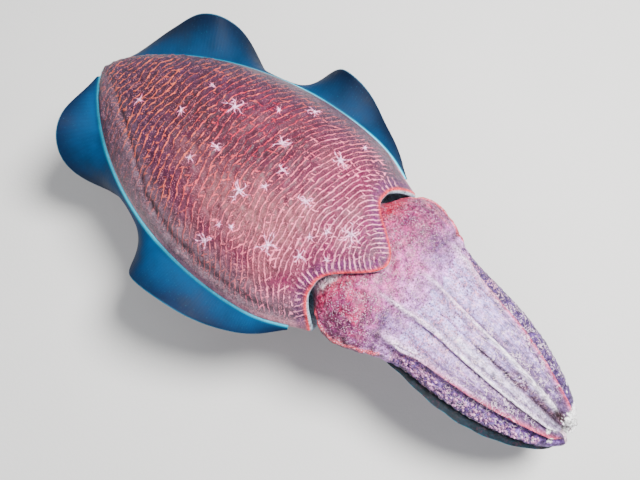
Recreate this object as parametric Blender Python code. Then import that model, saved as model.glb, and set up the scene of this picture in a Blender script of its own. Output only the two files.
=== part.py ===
"""Pharaoh cuttlefish, life size, hovering with its arms held together, on a plain display stand.

Metres, +Z up. The head points along -Y and the animal's left is +X. The origin is the middle of the
stand's underside. Along the body, a place is given by how far it lies ahead of the tail tip. Heights
of the flesh are given from the plane of the fins.
"""

import math

import bmesh
import bpy
import numpy as np
from mathutils import Vector
from mathutils.bvhtree import BVHTree

# Between neighbouring pieces
GAP = 0.0003

# Where the animal is held
BODY_HEIGHT = 0.088
TAIL_Y = 0.170

# Mantle: an egg in outline, with a peak and an open reach as shares of its length
MANTLE_LENGTH = 0.270
MANTLE_HALF_WIDTH = 0.084
MANTLE_RISE = 0.038
MANTLE_DEPTH = 0.041
OUTLINE_EGG = {"peak": 0.63, "power": 0.75, "reach": 1.36}
BACK_EGG = {"peak": 0.56, "power": 0.62, "reach": 1.95}
BELLY_EGG = {"peak": 0.62, "power": 0.80, "reach": 1.95}
BACK_ROUNDNESS = 1.2
BELLY_ROUNDNESS = 1.05
SIDE_FULLNESS = 0.84
TAIL_LIFT = 0.008
MANTLE_AROUND = 23
MIDLINE_CROWDING = 1.25
MANTLE_ALONG = 22

# Mantle's free edge: a lobe over the head, a recess behind each eye and a corner at each fin
EDGE_FROM_SHARE = 0.70
LOBE_AT = 0.270
LOBE_SHARE = 0.62
RECESS_AT = 0.2375
CORNER_SHARE = 0.72
CORNER_AT = 0.2520
BELLY_EDGE_AT = 0.243
WALL = 0.0040
EDGE_ROUNDING = 0.0012
CAVITY_FLOOR_AT = 0.204
CAVITY_TAPER = 0.12

# Fins
FIN_SEAT_HALF = 0.0016
FIN_START_AT = 0.005
FIN_END_AT = 0.254
FIN_ROOT_THICKNESS = 0.0026
FIN_EDGE_THICKNESS = 0.0010
FIN_ALONG = 66
FIN_ACROSS = 5
FIN_LENGTHS = ("rear", "middle", "front")
# Share of the swing that the fin has at its root already
FIN_ROOT_SWING = 0.30
# Places along the body with the fin's width
FIN_WIDTHS = (
    (FIN_START_AT, 0.004),
    (0.020, 0.026),
    (0.040, 0.038),
    (0.070, 0.037),
    (0.130, 0.032),
    (0.160, 0.030),
    (0.205, 0.018),
    (FIN_END_AT, 0.0035),
)
# Places along the body with the degrees that the fin swings up
FIN_SWINGS = {
    "right": (
        (0.0, -20),
        (0.024, 16),
        (0.062, -92),
        (0.100, -114),
        (0.132, -8),
        (0.150, 16),
        (0.200, -6),
        (FIN_END_AT, -40),
    ),
    "left": (
        (0.0, -80),
        (0.032, -20),
        (0.060, 16),
        (0.096, -80),
        (0.120, -96),
        (0.152, 18),
        (0.200, -28),
        (FIN_END_AT, -60),
    ),
}

# Head: places along the body with its half width, top and bottom
ARMS_AT = 0.303
HEAD_STATIONS = (
    (CAVITY_FLOOR_AT + GAP, 0.0330, 0.0185, -0.0080),
    (0.224, 0.0360, 0.0215, -0.0110),
    (0.238, 0.0430, 0.0240, -0.0145),
    (0.250, 0.0560, 0.0252, -0.0185),
    (0.264, 0.0640, 0.0256, -0.0225),
    (0.279, 0.0620, 0.0250, -0.0250),
    (0.292, 0.0570, 0.0240, -0.0258),
    (ARMS_AT, 0.0515, 0.0230, -0.0260),
)
HEAD_AROUND = 38
HEAD_ALONG = 20

# Eyes, and the mound and fold of skin over each
EYE_AT = 0.271
EYE_OUT = 0.0470
EYE_DROP = -0.0060
EYE_RADII = (0.0145, 0.0150, 0.0135)
LOBE_BULGE = 0.0040
LOBE_OUT = 0.040
LOBE_REACH = 0.014
LOBE_LENGTH = 0.016
LID_OVERHANG = 0.004
UNDERCUT = 0.13
LID_RADIUS = 0.0024
# For each lid: first and last degree round the eye, then its run, rise and set out in eye radii
LIDS = {"upper": (8, 172, 1.08, 0.62, 0.84), "lower": (200, 340, 0.92, 0.76, 0.68)}

# How far the head and arms sway to the animal's left of the mantle's midline
SWAY_STATIONS = (
    (CAVITY_FLOOR_AT, 0.0),
    (0.236, 0.0006),
    (0.268, 0.0034),
    (0.300, 0.0028),
    (0.350, -0.0004),
    (0.442, -0.0050),
)

# Crown of arms: places along the body with its half width, half height and middle
CROWN_STATIONS = (
    (ARMS_AT, 0.0515, 0.0240, -0.0020),
    (0.322, 0.0475, 0.0234, -0.0036),
    (0.342, 0.0460, 0.0222, -0.0062),
    (0.376, 0.0415, 0.0196, -0.0120),
    (0.406, 0.0325, 0.0160, -0.0200),
    (0.429, 0.0215, 0.0118, -0.0275),
    (0.442, 0.0125, 0.0082, -0.0315),
)
# The arms of one side, from the back's midline: the degrees between them, and their tips
ARM_EDGES = (0.0, 20.0, 46.0, 112.0, 180.0)
ARM_TIPS = (0.432, 0.435, 0.438, 0.442)
MIDLINE_TWIST = -4.0
ARM_CENTRE = 0.71
ARM_HALF_THICK = 0.29
ARM_SQUARENESS = 0.62
TIP_TAPER_SHARE = 0.16
ARM_ALONG = 15
ARM_AROUND = 12

# Suckers, in two rows down the inner face of each arm
SUCKERS_IN_ROW = 8
SUCKER_RADII = (0.0011, 0.0012, 0.0017, 0.0020)
SUCKER_TIP_SCALE = 0.45
SUCKER_ROW_OUT = 0.40
SUCKER_SIDES = 5
SUCKER_RISE = 0.9
SUCKER_DISH = 0.45
SUCKER_ROOT = 0.0010

# Siphon: its radius at the neck, halfway and at the mouth
SIPHON_END_AT = 0.280
SIPHON_RADII = (0.0066, 0.0066, 0.0050)
SIPHON_BREADTH = 1.55
SIPHON_BORE_DEPTH = 0.012
SIPHON_WALL = 0.0020
SIPHON_AROUND = 14

# Stand
BASE_LENGTH = 0.200
BASE_WIDTH = 0.120
BASE_THICKNESS = 0.012
BASE_BEVEL = 0.002
BASE_AROUND = 48
ROD_RADIUS = 0.0040
ROD_AROUND = 16
RODS_AT = {"stand_rod_rear": 0.120, "stand_rod_front": 0.215}

# Colour and roughness of each finish
FINISHES = {
    "mantle": ((0.36, 0.20, 0.19), 0.45),
    "fin": ((0.02, 0.22, 0.42), 0.35),
    "head": ((0.52, 0.30, 0.36), 0.45),
    "arm": ((0.66, 0.55, 0.62), 0.45),
    "siphon": ((0.70, 0.66, 0.66), 0.45),
    "eye": ((0.03, 0.03, 0.04), 0.10),
    "stand": ((0.06, 0.06, 0.065), 0.40),
}
SHARP_ANGLE = math.radians(50)


def material(name, finish):
    colour, roughness = FINISHES[finish]
    made = bpy.data.materials.new(name)
    made.use_nodes = True
    shader = made.node_tree.nodes["Principled BSDF"]
    shader.inputs["Base Color"].default_value = (*colour, 1.0)
    shader.inputs["Roughness"].default_value = roughness
    shader.inputs["Metallic"].default_value = 0.0
    return made


def smooth_step(value):
    """0 below 0, 1 above 1, and an S between."""
    value = np.clip(value, 0.0, 1.0)
    return value * value * (3.0 - 2.0 * value)


def station_curve(stations, column):
    """A function that passes smoothly through one column of the stations."""
    at = np.array([row[0] for row in stations], float)
    value = np.array([row[column] for row in stations], float)
    slope = np.gradient(value, at)

    def curve(place):
        place = np.clip(np.asarray(place, float), at[0], at[-1])
        index = np.clip(np.searchsorted(at, place, side="right") - 1, 0, len(at) - 2)
        span = at[index + 1] - at[index]
        share = (place - at[index]) / span
        square, cube = share**2, share**3
        return (
            value[index] * (2 * cube - 3 * square + 1)
            + slope[index] * span * (cube - 2 * square + share)
            + value[index + 1] * (3 * square - 2 * cube)
            + slope[index + 1] * span * (cube - square)
        )

    return curve


def full_turn(count):
    return np.linspace(0, 2 * math.pi, count, endpoint=False)


def loft(rings):
    """Points and faces of rings joined in order, each closed round, with a fan at both ends."""
    count = len(rings[0])
    points = np.vstack([*rings, rings[0].mean(axis=0), rings[-1].mean(axis=0)])
    faces = []
    for row in range(len(rings) - 1):
        low, high = row * count, (row + 1) * count
        for column in range(count):
            after = (column + 1) % count
            faces.append((low + column, low + after, high + after, high + column))
    first, last, top = len(points) - 2, len(points) - 1, (len(rings) - 1) * count
    for column in range(count):
        after = (column + 1) % count
        faces.append((first, after, column))
        faces.append((last, top + column, top + after))
    return points, faces


def signed_volume(points, faces):
    total = 0.0
    for face in faces:
        for k in range(1, len(face) - 1):
            total += np.dot(points[face[0]], np.cross(points[face[k]], points[face[k + 1]]))
    return total


def mesh_object(name, points, faces, finish):
    """An object of the closed faces, turned to point out, with smooth shading."""
    if signed_volume(points, faces) < 0:
        faces = [tuple(reversed(face)) for face in faces]
    mesh = bpy.data.meshes.new(name)
    mesh.from_pydata([tuple(point) for point in points], [], faces)
    mesh.shade_smooth()
    mesh.set_sharp_from_angle(angle=SHARP_ANGLE)
    mesh.materials.append(material(name, finish))
    made = bpy.data.objects.new(name, mesh)
    bpy.context.scene.collection.objects.link(made)
    return made


def keep_largest(mesh):
    """Leaves only the closed surface that reaches farthest."""
    work = bmesh.new()
    work.from_mesh(mesh)
    seen, shells = set(), []
    for start in work.verts:
        if start in seen:
            continue
        shell, front = {start}, [start]
        while front:
            for edge in front.pop().link_edges:
                for vert in edge.verts:
                    if vert not in shell:
                        shell.add(vert)
                        front.append(vert)
        seen |= shell
        spots = np.array([vert.co for vert in shell])
        shells.append((float(np.ptp(spots, axis=0).sum()), len(shells), shell))
    shells.sort(key=lambda row: row[:2])
    spare = [vert for row in shells[:-1] for vert in row[2]]
    bmesh.ops.delete(work, geom=spare, context="VERTS")
    work.to_mesh(mesh)
    work.free()


def boolean(target, others, operation):
    """Joins closed objects to the target, or cuts them from it, and removes them."""
    group = bpy.data.collections.new(target.name + "_pieces")
    bpy.context.scene.collection.children.link(group)
    for other in others:
        bpy.context.scene.collection.objects.unlink(other)
        group.objects.link(other)
    modifier = target.modifiers.new(operation.title(), "BOOLEAN")
    modifier.operation = operation
    modifier.operand_type = "COLLECTION"
    modifier.collection = group
    modifier.solver = "EXACT"
    bpy.context.view_layer.update()
    graph = bpy.context.evaluated_depsgraph_get()
    mesh = bpy.data.meshes.new_from_object(target.evaluated_get(graph))
    target.modifiers.clear()
    keep_largest(mesh)
    mesh.shade_smooth()
    mesh.set_sharp_from_angle(angle=SHARP_ANGLE)
    target.data = mesh
    for other in others:
        bpy.data.objects.remove(other)
    bpy.data.collections.remove(group)


def egg(share, peak, power, reach):
    """An egg's outline: 0 at the tail, 1 at its peak, and still open at a share of 1."""
    fall = power * reach / peak - power
    return (share / peak) ** power * ((reach - share) / (reach - peak)) ** fall


def mantle_half_width(share):
    return MANTLE_HALF_WIDTH * egg(share, **OUTLINE_EGG)


def mantle_top(share):
    return MANTLE_RISE * egg(share, **BACK_EGG)


def mantle_bottom(share):
    return MANTLE_DEPTH * egg(share, **BELLY_EGG)


def root_plane(share):
    """Height of the fins' root, which rises a little towards the tail."""
    return BODY_HEIGHT + TAIL_LIFT * (1.0 - share) ** 2


def edge_pull(share):
    """How far a section is drawn from a plain cut towards the mantle's free edge."""
    return smooth_step((share - EDGE_FROM_SHARE) / (1.0 - EDGE_FROM_SHARE)) ** 1.3


def free_edge(across, upper):
    """Where along the body the mantle's edge lies, for shares across from -1 to 1."""
    across = np.abs(across)
    lobe = 0.5 * (1 + np.cos(math.pi * np.minimum(across / LOBE_SHARE, 1)))
    corner = np.clip((across - CORNER_SHARE) / (1 - CORNER_SHARE), 0, 1) ** 1.7
    back = RECESS_AT + (LOBE_AT - RECESS_AT) * lobe + (CORNER_AT - RECESS_AT) * corner
    belly = CORNER_AT - (CORNER_AT - BELLY_EDGE_AT) * 0.5 * (1 + np.cos(math.pi * across))
    return np.where(upper, back, belly)


def mantle_ring(share, angles, upper):
    """The mantle's outer section where its back is at this share of its length."""
    across = np.sign(np.sin(angles)) * np.abs(np.sin(angles)) ** SIDE_FULLNESS
    lift = np.abs(np.cos(angles))
    rise = (mantle_top(share) - FIN_SEAT_HALF) * lift**BACK_ROUNDNESS
    fall = (mantle_bottom(share) - FIN_SEAT_HALF) * lift**BELLY_ROUNDNESS
    height = np.where(upper, FIN_SEAT_HALF + rise, -FIN_SEAT_HALF - fall)
    along = MANTLE_LENGTH * share + (free_edge(across, upper) - MANTLE_LENGTH) * edge_pull(share)
    return np.stack([mantle_half_width(share) * across, TAIL_Y - along, root_plane(share) + height], axis=1)


def build_mantle():
    """The body sac, with the shallow opening that the neck and siphon come out of."""
    spread = np.linspace(-1, 1, MANTLE_AROUND)
    half_turn = math.pi / 2 * np.sign(spread) * np.abs(spread) ** MIDLINE_CROWDING
    angles = np.concatenate([half_turn, half_turn + math.pi])
    upper = np.repeat([True, False], MANTLE_AROUND)
    shares = np.concatenate([[0.004, 0.014, 0.035], np.linspace(0.07, 1.0, MANTLE_ALONG)])
    rings = [mantle_ring(share, angles, upper) for share in shares]
    middle = np.array([0.0, 0.0, root_plane(1.0)])
    half_width = mantle_half_width(1.0)
    half_height = np.where(upper, mantle_top(1.0), mantle_bottom(1.0))

    def inset(depth):
        ring = rings[len(shares) - 1] - middle
        ring[:, 0] *= 1 - depth / half_width
        ring[:, 2] *= 1 - 0.8 * depth / half_height
        return ring + middle

    rim = inset(0.4 * WALL)
    rim[:, 1] -= EDGE_ROUNDING
    lip = inset(WALL)
    rings.append(rim)
    for depth in np.linspace(0.0, 1.0, 5):
        narrow = 1 - CAVITY_TAPER * depth
        ring = (lip - middle) * np.array([narrow, 1.0, narrow]) + middle
        ring[:, 1] = lip[:, 1] * (1 - depth) + (TAIL_Y - CAVITY_FLOOR_AT) * depth
        rings.append(ring)
    points, faces = loft(rings)
    return mesh_object("mantle", points, faces, "mantle")


def fin_root(along, side):
    """A point of the fin's seat on the mantle, and the level direction out from it."""

    def seat(place):
        share = np.clip(place / MANTLE_LENGTH, 0.0005, 1.0)
        ahead = MANTLE_LENGTH * share + (CORNER_AT - MANTLE_LENGTH) * edge_pull(share)
        return np.array([side * mantle_half_width(share), TAIL_Y - ahead, root_plane(share)])

    step = 0.0008
    forward = seat(along + step) - seat(max(along - step, 0.0))
    out = side * np.array([-forward[1], forward[0], 0.0])
    return seat(along), out / np.linalg.norm(out)


def fin_section(along, side, swing):
    """Upper and lower points across the fin at one place, curving up or down to its edge."""
    root, out = fin_root(along, side)
    width = station_curve(FIN_WIDTHS, 1)(along)
    steps = np.linspace(0.0, 1.0, FIN_ACROSS + 1)
    angle = math.radians(float(swing(along)))
    middle = [root + out * GAP]
    for near, far in zip(steps[:-1], steps[1:]):
        turn = angle * (FIN_ROOT_SWING + (1 - FIN_ROOT_SWING) * math.sqrt((near + far) / 2))
        way = out * math.cos(turn) + np.array([0.0, 0.0, math.sin(turn)])
        middle.append(middle[-1] + way * width * (far - near))
    middle = np.array(middle)
    forward = np.cross(out, [0.0, 0.0, 1.0])
    normal = np.cross(np.gradient(middle, axis=0), forward)
    normal /= np.linalg.norm(normal, axis=1)[:, None]
    normal *= np.sign(normal[0, 2])
    normal[0] = (0.0, 0.0, 1.0)
    half = 0.5 * (FIN_EDGE_THICKNESS + (FIN_ROOT_THICKNESS - FIN_EDGE_THICKNESS) * (1 - steps) ** 2)
    return middle + normal * half[:, None], middle - normal * half[:, None]


def fin_faces(rows):
    """Faces of one length of fin. Its upper and lower sides are split into triangles alike."""
    across = FIN_ACROSS + 1
    faces = []
    for row in range(rows - 1):
        low, high = row * 2 * across, (row + 1) * 2 * across
        for k in range(FIN_ACROSS):
            a, b, c, d = low + k, low + k + 1, high + k + 1, high + k
            faces += [(a, b, c), (a, c, d)]
            a, b, c, d = a + across, b + across, c + across, d + across
            faces += [(c, b, a), (d, c, a)]
        faces.append((low, high, high + across, low + across))
        low, high = low + FIN_ACROSS, high + FIN_ACROSS
        faces.append((low + across, high + across, high, low))
    end = (rows - 1) * 2 * across
    for k in range(FIN_ACROSS):
        faces.append((k, k + across, k + across + 1, k + 1))
        faces.append((end + k + 1, end + k + across + 1, end + k + across, end + k))
    return faces


def build_fin(side, word):
    """One long rippling fin in three lengths."""
    swing = station_curve(FIN_SWINGS[word], 1)
    places = FIN_START_AT + (FIN_END_AT - FIN_START_AT) * np.linspace(0, 1, FIN_ALONG + 1) ** 1.15
    rows = FIN_ALONG // len(FIN_LENGTHS)
    for number, length in enumerate(FIN_LENGTHS):
        here = places[number * rows : (number + 1) * rows + 1].copy()
        if number > 0:
            here[0] += GAP
        sections = [fin_section(place, side, swing) for place in here]
        points = np.concatenate([np.concatenate(pair) for pair in sections])
        mesh_object(f"fin_{word}_{length}", points, fin_faces(len(here)), "fin")


def sway(along):
    return station_curve(SWAY_STATIONS, 1)(along)


def head_section(along, angles):
    """The head's section: broad above, with a mound over each eye, and narrower under the lids."""
    half_width, top, bottom = (station_curve(HEAD_STATIONS, k)(along) for k in (1, 2, 3))
    sideways, lift = np.sin(angles), np.cos(angles)
    near_eye = math.exp(-(((along - EYE_AT) / LOBE_LENGTH) ** 2))
    x = half_width * np.sign(sideways) * np.abs(sideways) ** 0.9
    x = x * (1 - UNDERCUT * near_eye * smooth_step(-3.0 * lift))
    brim = -LID_OVERHANG * near_eye
    z = brim + np.where(lift >= 0, top - brim, bottom - brim) * np.abs(lift)
    mound = np.exp(-(((np.abs(x) - LOBE_OUT) / LOBE_REACH) ** 2))
    z = z + LOBE_BULGE * near_eye * mound * smooth_step(2.0 * lift)
    return np.stack([x + sway(along), np.full_like(x, TAIL_Y - along), BODY_HEIGHT + z], axis=1)


def eye_centre(side):
    return np.array([side * EYE_OUT + sway(EYE_AT), TAIL_Y - EYE_AT, BODY_HEIGHT + EYE_DROP])


def eyeball(name, side, radii):
    """A closed ellipsoid with its poles to the animal's sides."""
    centre = eye_centre(side)
    turn = full_turn(16)
    rings = []
    for polar in np.linspace(0, math.pi, 11)[1:-1]:
        wide = math.sin(polar)
        shape = np.stack([np.full(16, math.cos(polar)), wide * np.cos(turn), wide * np.sin(turn)], axis=1)
        rings.append(centre + shape * radii)
    points, faces = loft(rings)
    points[-2] = centre + (radii[0], 0, 0)
    points[-1] = centre - (radii[0], 0, 0)
    return mesh_object(name, points, faces, "eye")


def build_lid(side, lid):
    """The fold of skin along the upper or lower rim of one eye, as a bent tube."""
    first, last, run, rise, out = LIDS[lid]
    sweep = np.radians(np.linspace(first, last, 12))
    set_out = side * out * (1 - 0.28 * np.abs(np.cos(sweep)))
    shape = np.stack([set_out, run * np.cos(sweep), rise * np.sin(sweep)], axis=1)
    path = eye_centre(side) + EYE_RADII * shape
    forward = np.gradient(path, axis=0)
    forward /= np.linalg.norm(forward, axis=1)[:, None]
    level = np.cross(forward, [0.0, 0.0, 1.0])
    level /= np.linalg.norm(level, axis=1)[:, None]
    up = np.cross(level, forward)
    radii = LID_RADIUS * (0.45 + 0.55 * np.sin(np.linspace(0, math.pi, len(path))))
    turn = full_turn(8)
    rings = [
        point + radius * (np.outer(np.cos(turn), across) + np.outer(np.sin(turn), over))
        for point, radius, across, over in zip(path, radii, level, up)
    ]
    points, faces = loft(rings)
    return mesh_object("lid", points, faces, "head")


def build_head():
    """Head and neck in one piece, with the lids joined on and the eye sockets cut."""
    places = np.linspace(CAVITY_FLOOR_AT + GAP, ARMS_AT, HEAD_ALONG)
    points, faces = loft([head_section(place, full_turn(HEAD_AROUND)) for place in places])
    head = mesh_object("head", points, faces, "head")
    boolean(head, [build_lid(side, lid) for side in (1, -1) for lid in LIDS], "UNION")
    clear = np.array(EYE_RADII) + GAP
    boolean(head, [eyeball("socket", side, clear) for side in (1, -1)], "DIFFERENCE")
    return head


def crown_point(along, angle, share):
    """A point of the arm crown: angle from the back's midline, and share of the way out."""
    half_width, half_height, middle = (station_curve(CROWN_STATIONS, k)(along) for k in (1, 2, 3))
    x = sway(along) + half_width * share * math.sin(angle)
    z = middle + half_height * share * math.cos(angle)
    return np.array([x, TAIL_Y - along, BODY_HEIGHT + z])


def tip_taper(along, tip_at):
    """1 along most of an arm, and down to 0 at its tip."""
    left = max(0.0, (tip_at - along) / (tip_at - ARMS_AT))
    return min(1.0, (left / TIP_TAPER_SHARE)) ** 0.55


def arm_section(along, first, last, tip_at):
    """One arm's section: a rounded wedge of the crown, drawn to a point at its tip."""
    half_width, half_height = (station_curve(CROWN_STATIONS, k)(along) for k in (1, 2))
    taper = tip_taper(along, tip_at)
    middle = 0.5 * (first + last)
    reach = 0.5 * (last - first) - GAP / min(half_width, half_height)
    points = []
    for turn in full_turn(ARM_AROUND) + math.pi / ARM_AROUND:
        sideways, outward = (
            math.copysign(abs(part) ** ARM_SQUARENESS, part) for part in (math.sin(turn), math.cos(turn))
        )
        angle = middle + reach * taper * sideways
        points.append(crown_point(along, angle, ARM_CENTRE + ARM_HALF_THICK * taper * outward))
    return np.array(points)


def build_sucker(spot, axis, radius, scale):
    """A small cup that stands on its root, along the axis."""
    side = np.cross(axis, [0.0, 1.0, 0.0])
    side /= np.linalg.norm(side)
    turn = full_turn(SUCKER_SIDES)
    circle = radius * (np.outer(np.cos(turn), side) + np.outer(np.sin(turn), np.cross(axis, side)))
    rise = SUCKER_RISE * radius
    steps = ((-SUCKER_ROOT * scale, 0.75), (rise, 1.0), (rise - SUCKER_DISH * radius, 0.5))
    points, faces = loft([spot + axis * height + circle * wide for height, wide in steps])
    return mesh_object("sucker", points, faces, "arm")


def arm_suckers(number, first, last, tip_at):
    """Two rows of suckers, smaller towards the tip, facing the crown's middle."""
    made = []
    for k in range(2 * SUCKERS_IN_ROW):
        share = (k + 0.8) / (2 * SUCKERS_IN_ROW)
        along = ARMS_AT + (tip_at - ARMS_AT) * share
        taper = tip_taper(along, tip_at)
        row = -1 if k % 2 else 1
        angle = 0.5 * (first + last) + 0.5 * (last - first) * SUCKER_ROW_OUT * taper * row
        spot = crown_point(along, angle, ARM_CENTRE - ARM_HALF_THICK * taper)
        axis = crown_point(along, angle, 0.0) - spot
        scale = 1 + (SUCKER_TIP_SCALE - 1) * share
        made.append(build_sucker(spot, axis / np.linalg.norm(axis), SUCKER_RADII[number] * scale, scale))
    return made


def build_arm(side, word, number):
    """One arm from the head's face to its tip, with its suckers."""
    first, last = (side * math.radians(edge) for edge in ARM_EDGES[number : number + 2])
    if number == 0:
        first += math.radians(MIDLINE_TWIST)
    first, last = min(first, last), max(first, last)
    tip_at = ARM_TIPS[number]
    places = ARMS_AT + GAP + (tip_at - ARMS_AT - 2 * GAP) * np.linspace(0, 1, ARM_ALONG) ** 0.9
    points, faces = loft([arm_section(place, first, last, tip_at) for place in places])
    arm = mesh_object(f"arm_{word}_{number + 1}", points, faces, "arm")
    boolean(arm, arm_suckers(number, first, last, tip_at), "UNION")
    return arm


def build_siphon():
    """The funnel under the head, open at its front end."""
    start = CAVITY_FLOOR_AT + GAP
    turn = full_turn(SIPHON_AROUND)

    def ring(along, scale=1.0):
        share = (along - start) / (SIPHON_END_AT - start)
        radius = np.interp(share, [0, 0.55, 1], SIPHON_RADII)
        height = BODY_HEIGHT + station_curve(HEAD_STATIONS, 3)(along) - 2 * GAP - radius
        x = SIPHON_BREADTH * radius * scale * np.cos(turn)
        return np.stack([x, np.full_like(x, TAIL_Y - along), height + radius * scale * np.sin(turn)], axis=1)

    mouth = 1 - SIPHON_WALL / SIPHON_RADII[-1]
    rings = [ring(along) for along in np.linspace(start, SIPHON_END_AT, 8)]
    rings.append(ring(SIPHON_END_AT, mouth))
    rings.append(ring(SIPHON_END_AT - SIPHON_BORE_DEPTH, 0.7 * mouth))
    points, faces = loft(rings)
    return mesh_object("siphon", points, faces, "siphon")


def build_base():
    """A flat oval plate with a softened upper edge."""
    turn = full_turn(BASE_AROUND)
    rings = []
    for height, inset in ((0.0, 0.0), (BASE_THICKNESS - BASE_BEVEL, 0.0), (BASE_THICKNESS, BASE_BEVEL)):
        x = (BASE_WIDTH / 2 - inset) * np.cos(turn)
        y = (BASE_LENGTH / 2 - inset) * np.sin(turn)
        rings.append(np.stack([x, y, np.full_like(x, height)], axis=1))
    points, faces = loft(rings)
    return mesh_object("stand_base", points, faces, "stand")


def build_rod(name, along, belly):
    """An upright rod from the base, its top shaped to the belly."""
    turn = full_turn(ROD_AROUND)
    x, y = ROD_RADIUS * np.cos(turn), TAIL_Y - along + ROD_RADIUS * np.sin(turn)

    def under_belly(px, py):
        hit = belly.ray_cast(Vector((px, py, BASE_THICKNESS)), Vector((0, 0, 1)))
        return hit[0].z - GAP

    foot = np.stack([x, y, np.full_like(x, BASE_THICKNESS + GAP)], axis=1)
    top = np.stack([x, y, [under_belly(px, py) for px, py in zip(x, y)]], axis=1)
    points, faces = loft([foot, top])
    points[-1][2] = min(points[-1][2], under_belly(0.0, TAIL_Y - along))
    return mesh_object(name, points, faces, "stand")


def main():
    for obj in list(bpy.data.objects):
        bpy.data.objects.remove(obj)
    mantle = build_mantle()
    build_head()
    build_siphon()
    for side, word in ((1, "left"), (-1, "right")):
        build_fin(side, word)
        eyeball(f"eye_{word}", side, EYE_RADII)
        for number in range(len(ARM_TIPS)):
            build_arm(side, word, number)
    build_base()
    mesh = mantle.data
    belly = BVHTree.FromPolygons([v.co for v in mesh.vertices], [tuple(p.vertices) for p in mesh.polygons])
    for name, along in RODS_AT.items():
        build_rod(name, along, belly)


main()
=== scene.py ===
import math
from itertools import product

import bpy
import numpy as np
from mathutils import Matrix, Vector
from mathutils.bvhtree import BVHTree


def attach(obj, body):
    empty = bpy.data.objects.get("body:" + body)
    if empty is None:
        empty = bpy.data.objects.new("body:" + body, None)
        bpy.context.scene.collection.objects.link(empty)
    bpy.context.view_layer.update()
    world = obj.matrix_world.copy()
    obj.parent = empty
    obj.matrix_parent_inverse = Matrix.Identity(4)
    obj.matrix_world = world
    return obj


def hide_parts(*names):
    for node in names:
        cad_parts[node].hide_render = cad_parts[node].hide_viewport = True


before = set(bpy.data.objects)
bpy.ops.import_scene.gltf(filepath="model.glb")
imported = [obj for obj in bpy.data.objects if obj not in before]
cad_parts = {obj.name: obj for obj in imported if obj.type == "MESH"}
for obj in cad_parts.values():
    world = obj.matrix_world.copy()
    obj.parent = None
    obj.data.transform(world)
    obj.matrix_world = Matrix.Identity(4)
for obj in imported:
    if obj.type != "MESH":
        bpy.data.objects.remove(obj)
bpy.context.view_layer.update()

# The pharaoh cuttlefish's skin, eyes and suckers, the finish of its stand, and the floor, light and
# camera. Metres, +Z up. The head points along -Y and the animal's left is +X. Along the body, a place
# is given by how far it lies ahead of the tail tip. Heights of the flesh are from the fins' plane.

# Where the animal is held, as in the solids
BODY_HEIGHT = 0.088
TAIL_Y = 0.170
TAIL_LIFT = 0.008

# Mantle, as in the solids
MANTLE_LENGTH = 0.270
MANTLE_HALF_WIDTH = 0.084
MANTLE_RISE = 0.038
MANTLE_DEPTH = 0.041
OUTLINE_EGG = {"peak": 0.63, "power": 0.75, "reach": 1.36}
BACK_EGG = {"peak": 0.56, "power": 0.62, "reach": 1.95}
BELLY_EGG = {"peak": 0.62, "power": 0.80, "reach": 1.95}
BACK_ROUNDNESS = 1.2
BELLY_ROUNDNESS = 1.05
SIDE_FULLNESS = 0.84
FIN_SEAT_HALF = 0.0016
EDGE_FROM_SHARE = 0.70
LOBE_AT = 0.270
LOBE_SHARE = 0.62
RECESS_AT = 0.2375
CORNER_SHARE = 0.72
CORNER_AT = 0.2520
BELLY_EDGE_AT = 0.243
WALL = 0.0040
EDGE_ROUNDING = 0.0012
CAVITY_FLOOR_AT = 0.204
CAVITY_TAPER = 0.12

# Mantle's skin: its grid, and the crease that runs beside its edge as shares of its half width
BACK_COLUMNS = 236
BELLY_COLUMNS = 92
MANTLE_ROWS = 282
MANTLE_CROWDING = 1.12
FIRST_SHARE = 0.0005
RIM_ROWS = 5
CAVITY_ROWS = 14
CREASE_STATIONS = (
    (0.06, 0.26), (0.155, 0.487), (0.213, 0.568), (0.30, 0.707), (0.39, 0.835),
    (0.487, 0.882), (0.60, 0.905), (0.73, 0.915), (0.83, 0.935), (1.0, 0.94),
)
# On the animal's left it is faint and runs close to the edge
LEFT_CREASE_SHARE = 0.95
LEFT_CREASE_STRENGTH = 0.3
CREASE_DEPTH = 0.0012
CREASE_WIDTH = 0.0024
LINE_RELIEF = 0.00030
# Where the comb of short lines lies behind the free edge, and how broad it is
COMB_AT = 0.0045
COMB_WIDTH = 0.0040

# Wavy lines over the back: places along the body with the spacing of the lines
LINE_SPACING = ((0.0, 0.0049), (0.12, 0.0050), (0.20, 0.0039), (0.27, 0.0032))
# Degrees that the lines bend towards the head at the body's sides
LINE_BEND = ((0.0, 10), (0.10, 24), (0.18, 34), (0.27, 52))
KERNEL_STEP = 0.0038
KERNEL_REACH = 0.0046
KERNEL_JITTER = 0.42
KERNEL_ROUNDS = 9
# The lines' wave and the finer one that joins them: seed, turn in radians and scale of the spacing
WAVE_CHOICES = ((3, 0.0, 1.0), (8, math.radians(62), 1.25))
RASTER_STEP = 0.0008
RASTER_FROM = (-0.092, -0.006)
RASTER_TO = (0.092, 0.276)

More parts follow.
